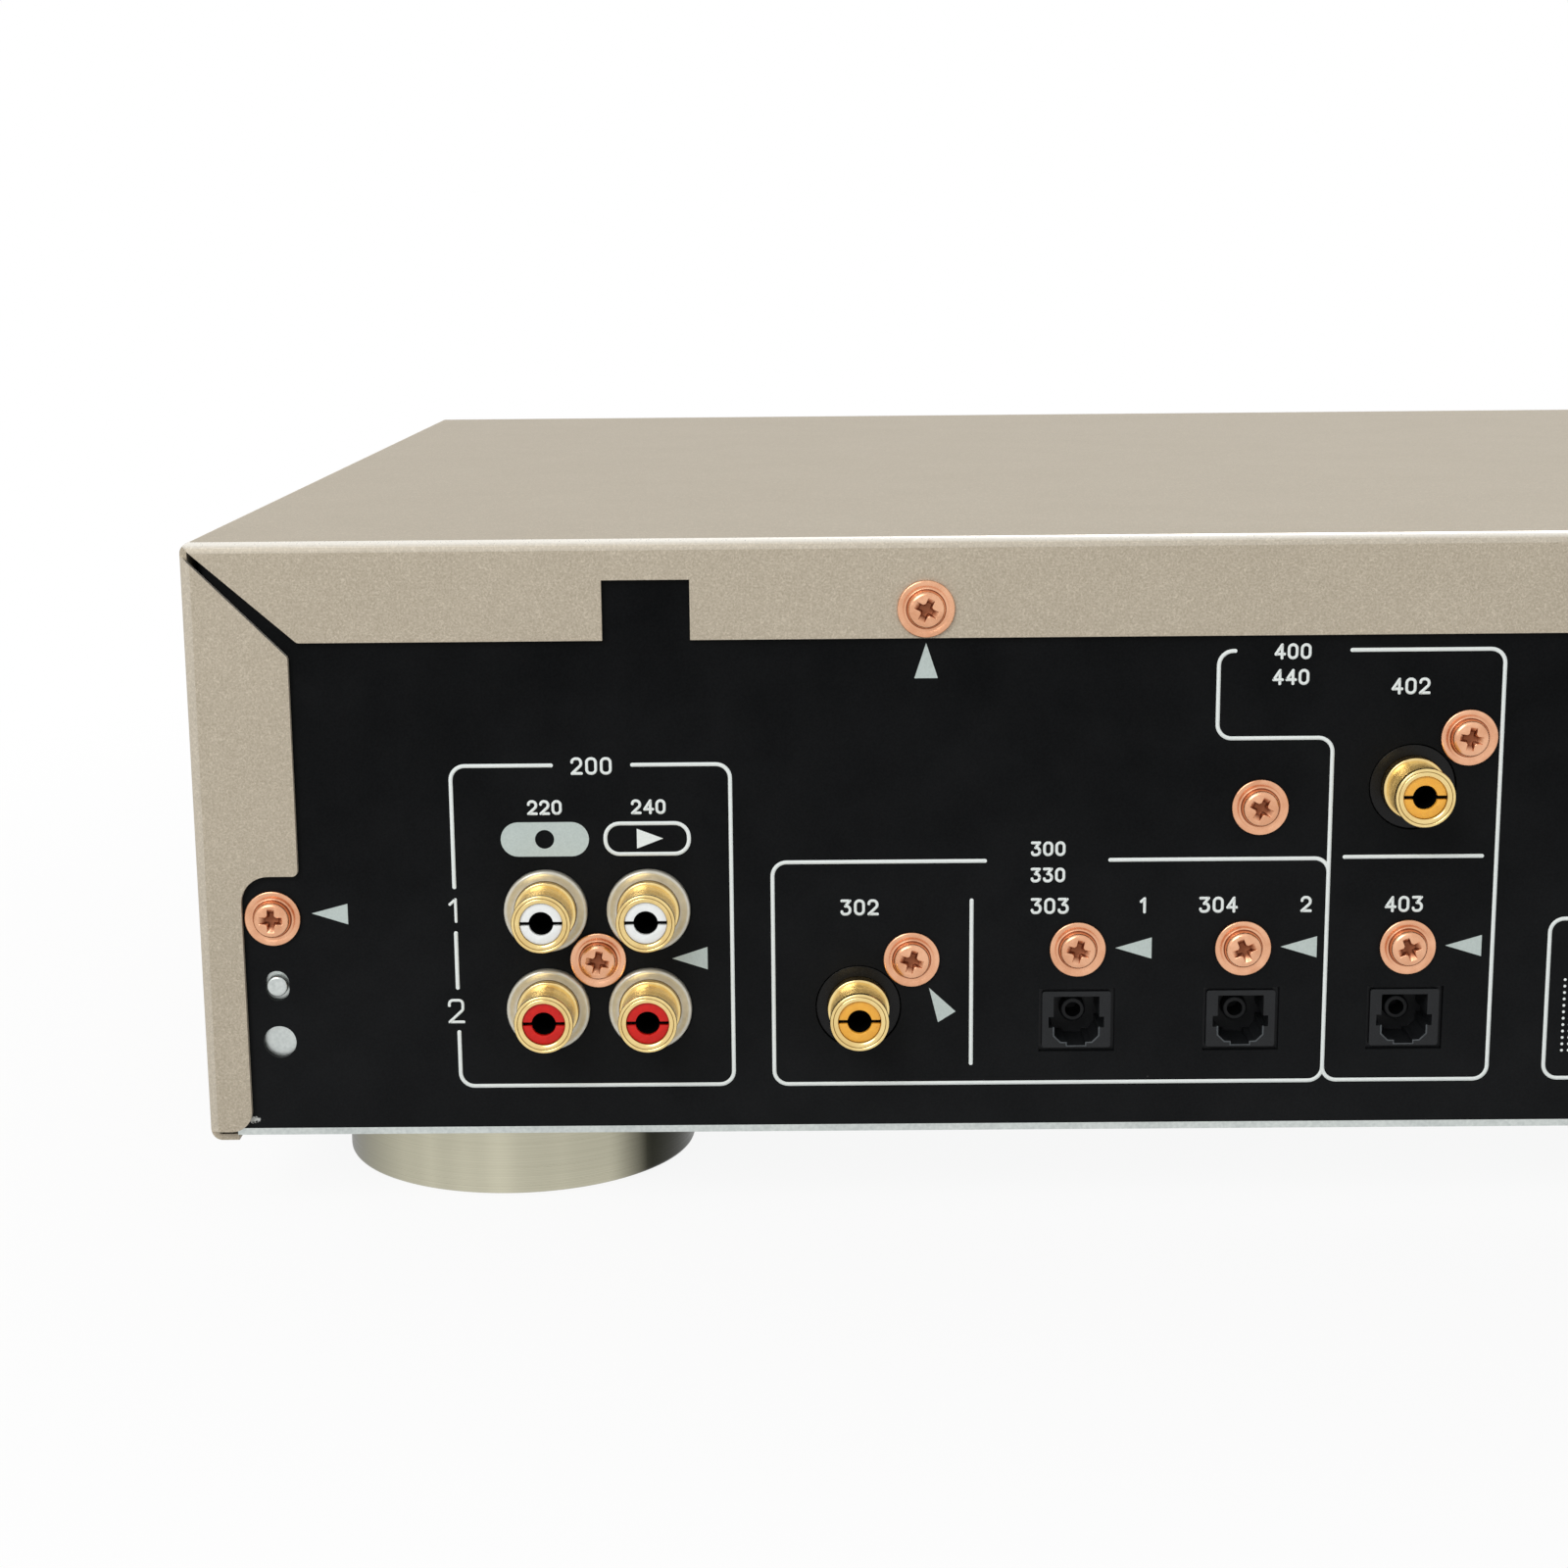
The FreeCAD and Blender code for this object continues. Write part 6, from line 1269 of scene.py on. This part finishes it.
# Painted shade: the lining takes the bores' blackest black.
piece("phones_socket_lining", smooth(lining), "black_plastic", finish="bore_black")
print("lining", LINING_LONG, "mm deep")

# %% [markdown]
# The jog dial and the two level knobs are turned, with fine ribs for grip. Ribs could be cut by an
# array of Booleans, but a slim bar half sunk in the rim looks the same, and the tree sets it
# round the knob. Each knob's rings are centred on its own shaft, so they stay put as it turns.

# %% Knobs with ribs
RIB_DEEP, RIB_WIDE, RIB_SUNK, RIB_BACK = 0.16, 0.20, 0.06, 1.6


def rib_mesh(long):
    """A slim rounded bar along Z, half sunk in the knob."""
    corners = [math.radians(angle) for angle in range(0, 360, 45)]
    return prism([(RIB_DEEP * math.cos(a), RIB_WIDE * math.sin(a)) for a in corners], 0, long)


def knob(body, count, rib_front):
    """A knob's clean copy with turned rings on its face and ribs round its rim; gives its radius."""
    low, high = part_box(body)
    centre, radius = front_of(body), (high.x - low.x) / 2
    finishes[body + "_turning"] = turned_face(body + "_turning", centre)
    dressed(body, 0.0, body, body + "_turning")
    start = low.y + rib_front * MM
    points = []
    for i in range(count):
        angle = 2 * math.pi * i / count
        points.append((Vector((centre.x + (radius - RIB_SUNK * MM) * math.cos(angle), start,
                               centre.z + (radius - RIB_SUNK * MM) * math.sin(angle))), OUT, 0.0))
    rib = rib_mesh((FASCIA_Y - RIB_BACK * MM - start) / MM)
    piece(body + "_ribs", smooth(set_at(rib, points, "champagne_aluminium")), "champagne_aluminium",
          body)
    return radius


for body, count, rib_front in (("jog_dial", 120, 2.4), ("record_level_knob", 72, 2.0),
                               ("phones_level_knob", 54, 2.0)):
    print(body, count, "ribs on a radius of", round(knob(body, count, rib_front) / MM, 2), "mm")

# %% [markdown]
# A dial needs a scale. Each level knob has eleven short strokes on the fascia from 0 to 10, over
# the 300 degrees that it turns, with numbers at the ends and the middle. The strokes come from the
# tree that draws the panel's frames, in dark ink.

# %% Scales round the level knobs
TICK_FROM, TICK_TO, NUMBER_AT = 1.6, 3.0, 4.9


def scale_marks(radius):
    """Strokes and numbers of a 0 to 10 scale about the origin."""
    lines = []
    for step in range(11):
        angle = math.radians(240 - 30 * step)
        spots = [((radius + out) * math.cos(angle), (radius + out) * math.sin(angle))
                 for out in (TICK_FROM, TICK_TO, NUMBER_AT)]
        lines.append(spots[:2])
        if step % 5 == 0:
            lines += number(str(step), *spots[2], 1.6)
    return ink_lines(lines, 0.28, 0.4, "black_paint")


for body in ("record_level_knob", "phones_level_knob"):
    low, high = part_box(body)
    marks = scale_marks((high.x - low.x) / 2 / MM)
    middle = front_of(body)
    middle.y = FASCIA_Y
    marks.transform(facing(TO_FRONT, middle))
    piece(body + "_scale", marks, "black_paint")
    print(body, "scale", len(marks.polygons), "faces")

# %% [markdown]
# The buttons carry the usual transport signs, in place of words. The signs are flat patches of
# dark ink that ride on their own button, so that they go in with it.

# %% Button signs
def bar(x0, x1, y0, y1):
    return [(x0, y0), (x1, y0), (x1, y1), (x0, y1)]


to_left = [[(-2.4, 0), (0, 1.4), (0, -1.4)], [(0, 0), (2.4, 1.4), (2.4, -1.4)]]
signs_of = {
    "play_button": [[(1.7, 0), (-1.3, 1.6), (-1.3, -1.6)]],
    "pause_button": [bar(-1.4, -0.5, -1.5, 1.5), bar(0.5, 1.4, -1.5, 1.5)],
    "stop_button": [bar(-1.35, 1.35, -1.35, 1.35)],
    "rewind_button": to_left,
    "forward_button": [[(-x, y) for x, y in tip] for tip in to_left],
    "record_button": [disc(0, 0, 1.5)],
    "eject_button": [[(0, 1.5), (-1.9, -0.4), (1.9, -0.4)], bar(-1.9, 1.9, -1.5, -0.9)],
    "power_button": [bar(-0.25, 0.25, -2.0, 2.0)],
}
for body, outlines in signs_of.items():
    dressed(body, 0.0, body)
    sign = gathered([flat(outline) for outline in outlines])
    sign.transform(facing(TO_FRONT, front_of(body)))
    piece(body + "_sign", sign, "black_paint", body)
print(len(signs_of), "buttons signed")

# %% [markdown]
# Behind the window the display tube is unlit, but its segments still show faintly: pale phosphor
# bars in groups of seven. The tree sets one bar for each segment of six figures. Though the tube is
# off, the phosphor is given a trace of painted glow, because so little light gets through the smoke
# and back.

# %% Display segments
FIGURE_TALL, FIGURE_STEP, FIGURE_COUNT, SEGMENT_OFF = 11.0, 13.0, 6, 0.05
segment_bar = [(-2.1, 0), (-1.6, 0.42), (1.6, 0.42), (2.1, 0), (1.6, -0.42), (-1.6, -0.42)]


def segment_points():
    """(place, direction, turn) of the bars of six figures on the tube's front face."""
    middle = front_of("display_tube")
    half, quarter = FIGURE_TALL / 2, FIGURE_TALL / 4
    bars_of = [(0, half, 0), (0, 0, 0), (0, -half, 0), (-quarter, quarter, 1), (quarter, quarter, 1),
               (-quarter, -quarter, 1), (quarter, -quarter, 1)]
    points = []
    for figure in range(FIGURE_COUNT):
        x = (figure - (FIGURE_COUNT - 1) / 2) * FIGURE_STEP
        for dx, dz, upright in bars_of:
            spot = middle + Vector((x + dx, -SEGMENT_OFF, dz)) * MM
            points.append((spot, Vector((0, -1, 0)), upright * math.pi / 2))
    return points


# The segments carry a painted glow, though the tube is unlit.
segments = set_at(prism(segment_bar, 0, 0.04), segment_points(), "phosphor")
piece("display_segments", segments, "ribbon_grey", finish="phosphor")
dressed("display_tube")
print(len(segment_points()), "segments")

# %% [markdown]
# ## Inside
# Boards, transformer, brackets and the loading mechanism keep their CAD solids, since a shell of
# their own would only repeat them. Each is given its finish by the slot that the record names, so
# nothing inside is left as plain grey.

# %% Finishes for the solids that stay
for node, solid in nodes.items():
    slot = solid.data.materials[0].name
    if slot in finishes:
        solid.data.materials[0] = finishes[slot]
print(len(nodes), "nodes looked at")

# %% [markdown]
# ## Light and floor
# The room is a white studio. The floor is white card, and what the camera, a mirror or glass
# sees of it is nearly all plain white. Near the deck a share of true shading is left, so that its
# shadow stays; further out the card fades into the white of the room. More light on the card would
# whiten it too, but would bleach the deck. The two lamps are large, so the shadows are soft, and
# neither is strong: a colour comes out about as it is written.

# %% The floor
CARD = 0.86
SHADOW_NEAR, SHADOW_END, SHADOW_SHARE = 0.15, 0.48, 0.90
FLOOR_REACH = 6


def seen_directly(sheet):
    """1 for camera, glossy and transmission rays, 0 for the light that falls on things."""
    total = 0.0
    for ray in ("Is Camera Ray", "Is Glossy Ray", "Is Transmission Ray"):
        total = sheet.node("ShaderNodeLightPath", {}, {}, ray) + total
    return sheet.node("ShaderNodeMath", {"operation": "MINIMUM"}, {0: total, 1: 1.0})


def floor_finish():
    """White card: mostly plain white to the eye, wholly so from SHADOW_END outwards."""
    material = bpy.data.materials.new("white_card")
    material.use_nodes = True
    sheet = Sheet(material.node_tree)
    sheet.tree.nodes.remove(sheet.tree.nodes["Principled BSDF"])
    here = sheet.node("ShaderNodeTexCoord", {}, {}, "Object")
    away = sheet.node("ShaderNodeVectorMath", {"operation": "LENGTH"}, {0: here})
    share = sheet.node("ShaderNodeMapRange", {"interpolation_type": "SMOOTHSTEP", "clamp": True},
                       {"Value": away, "From Min": SHADOW_NEAR, "From Max": SHADOW_END,
                        "To Min": SHADOW_SHARE, "To Max": 1.0})
    card = sheet.node("ShaderNodeBsdfDiffuse", {}, {"Color": (CARD, CARD, CARD, 1)})
    glow = sheet.node("ShaderNodeEmission", {}, {"Color": (1, 1, 1, 1), "Strength": 1.0})
    mixed = sheet.node("ShaderNodeMixShader", {}, {0: seen_directly(sheet) * share, 1: card, 2: glow})
    sheet.tree.links.new(mixed.socket, sheet.tree.nodes["Material Output"].inputs["Surface"])
    return material


floor_mesh = bpy.data.meshes.new("floor")
floor_mesh.from_pydata([(x * FLOOR_REACH, y * FLOOR_REACH, 0)
                        for x, y in ((-1, -1), (1, -1), (1, 1), (-1, 1))], [], [(0, 1, 2, 3)])
floor_mesh.materials.append(floor_finish())
floor = added("floor", floor_mesh)
print("floor fades to white", SHADOW_END, "m out")

# %% [markdown]
# The world is white to the eye and in mirrors, but gives only about half of that as light, which
# leaves room for the lamps to shape things. The key lamp stands behind the deck, where the jacks
# are; the fill lights the front and the top.

# %% World and lamps
AMBIENT = 0.55
KEY_POWER, FILL_POWER = 17, 11

world = bpy.data.worlds.new("studio")
bpy.context.scene.world = world
world.use_nodes = True
background = world.node_tree.nodes["Background"]
background.inputs["Color"].default_value = (1, 1, 1, 1)
strength = AMBIENT + (1 - AMBIENT) * seen_directly(Sheet(world.node_tree))
world.node_tree.links.new(strength.socket, background.inputs["Strength"])


def lamp(name, place, target, size, power):
    """A square area lamp aimed at a point."""
    made = added(name, bpy.data.lights.new(name, "AREA"))
    made.data.size = size
    made.data.energy = power
    made.location = place
    made.rotation_euler = (Vector(target) - Vector(place)).to_track_quat("-Z", "Y").to_euler()


lamp("key", (0.9, 1.6, 1.3), (0.1, 0.1, 0.05), 1.0, KEY_POWER)
lamp("fill", (-0.5, -1.7, 1.9), (0, 0, 0.05), 0.8, FILL_POWER)
print("two lamps and a white room")
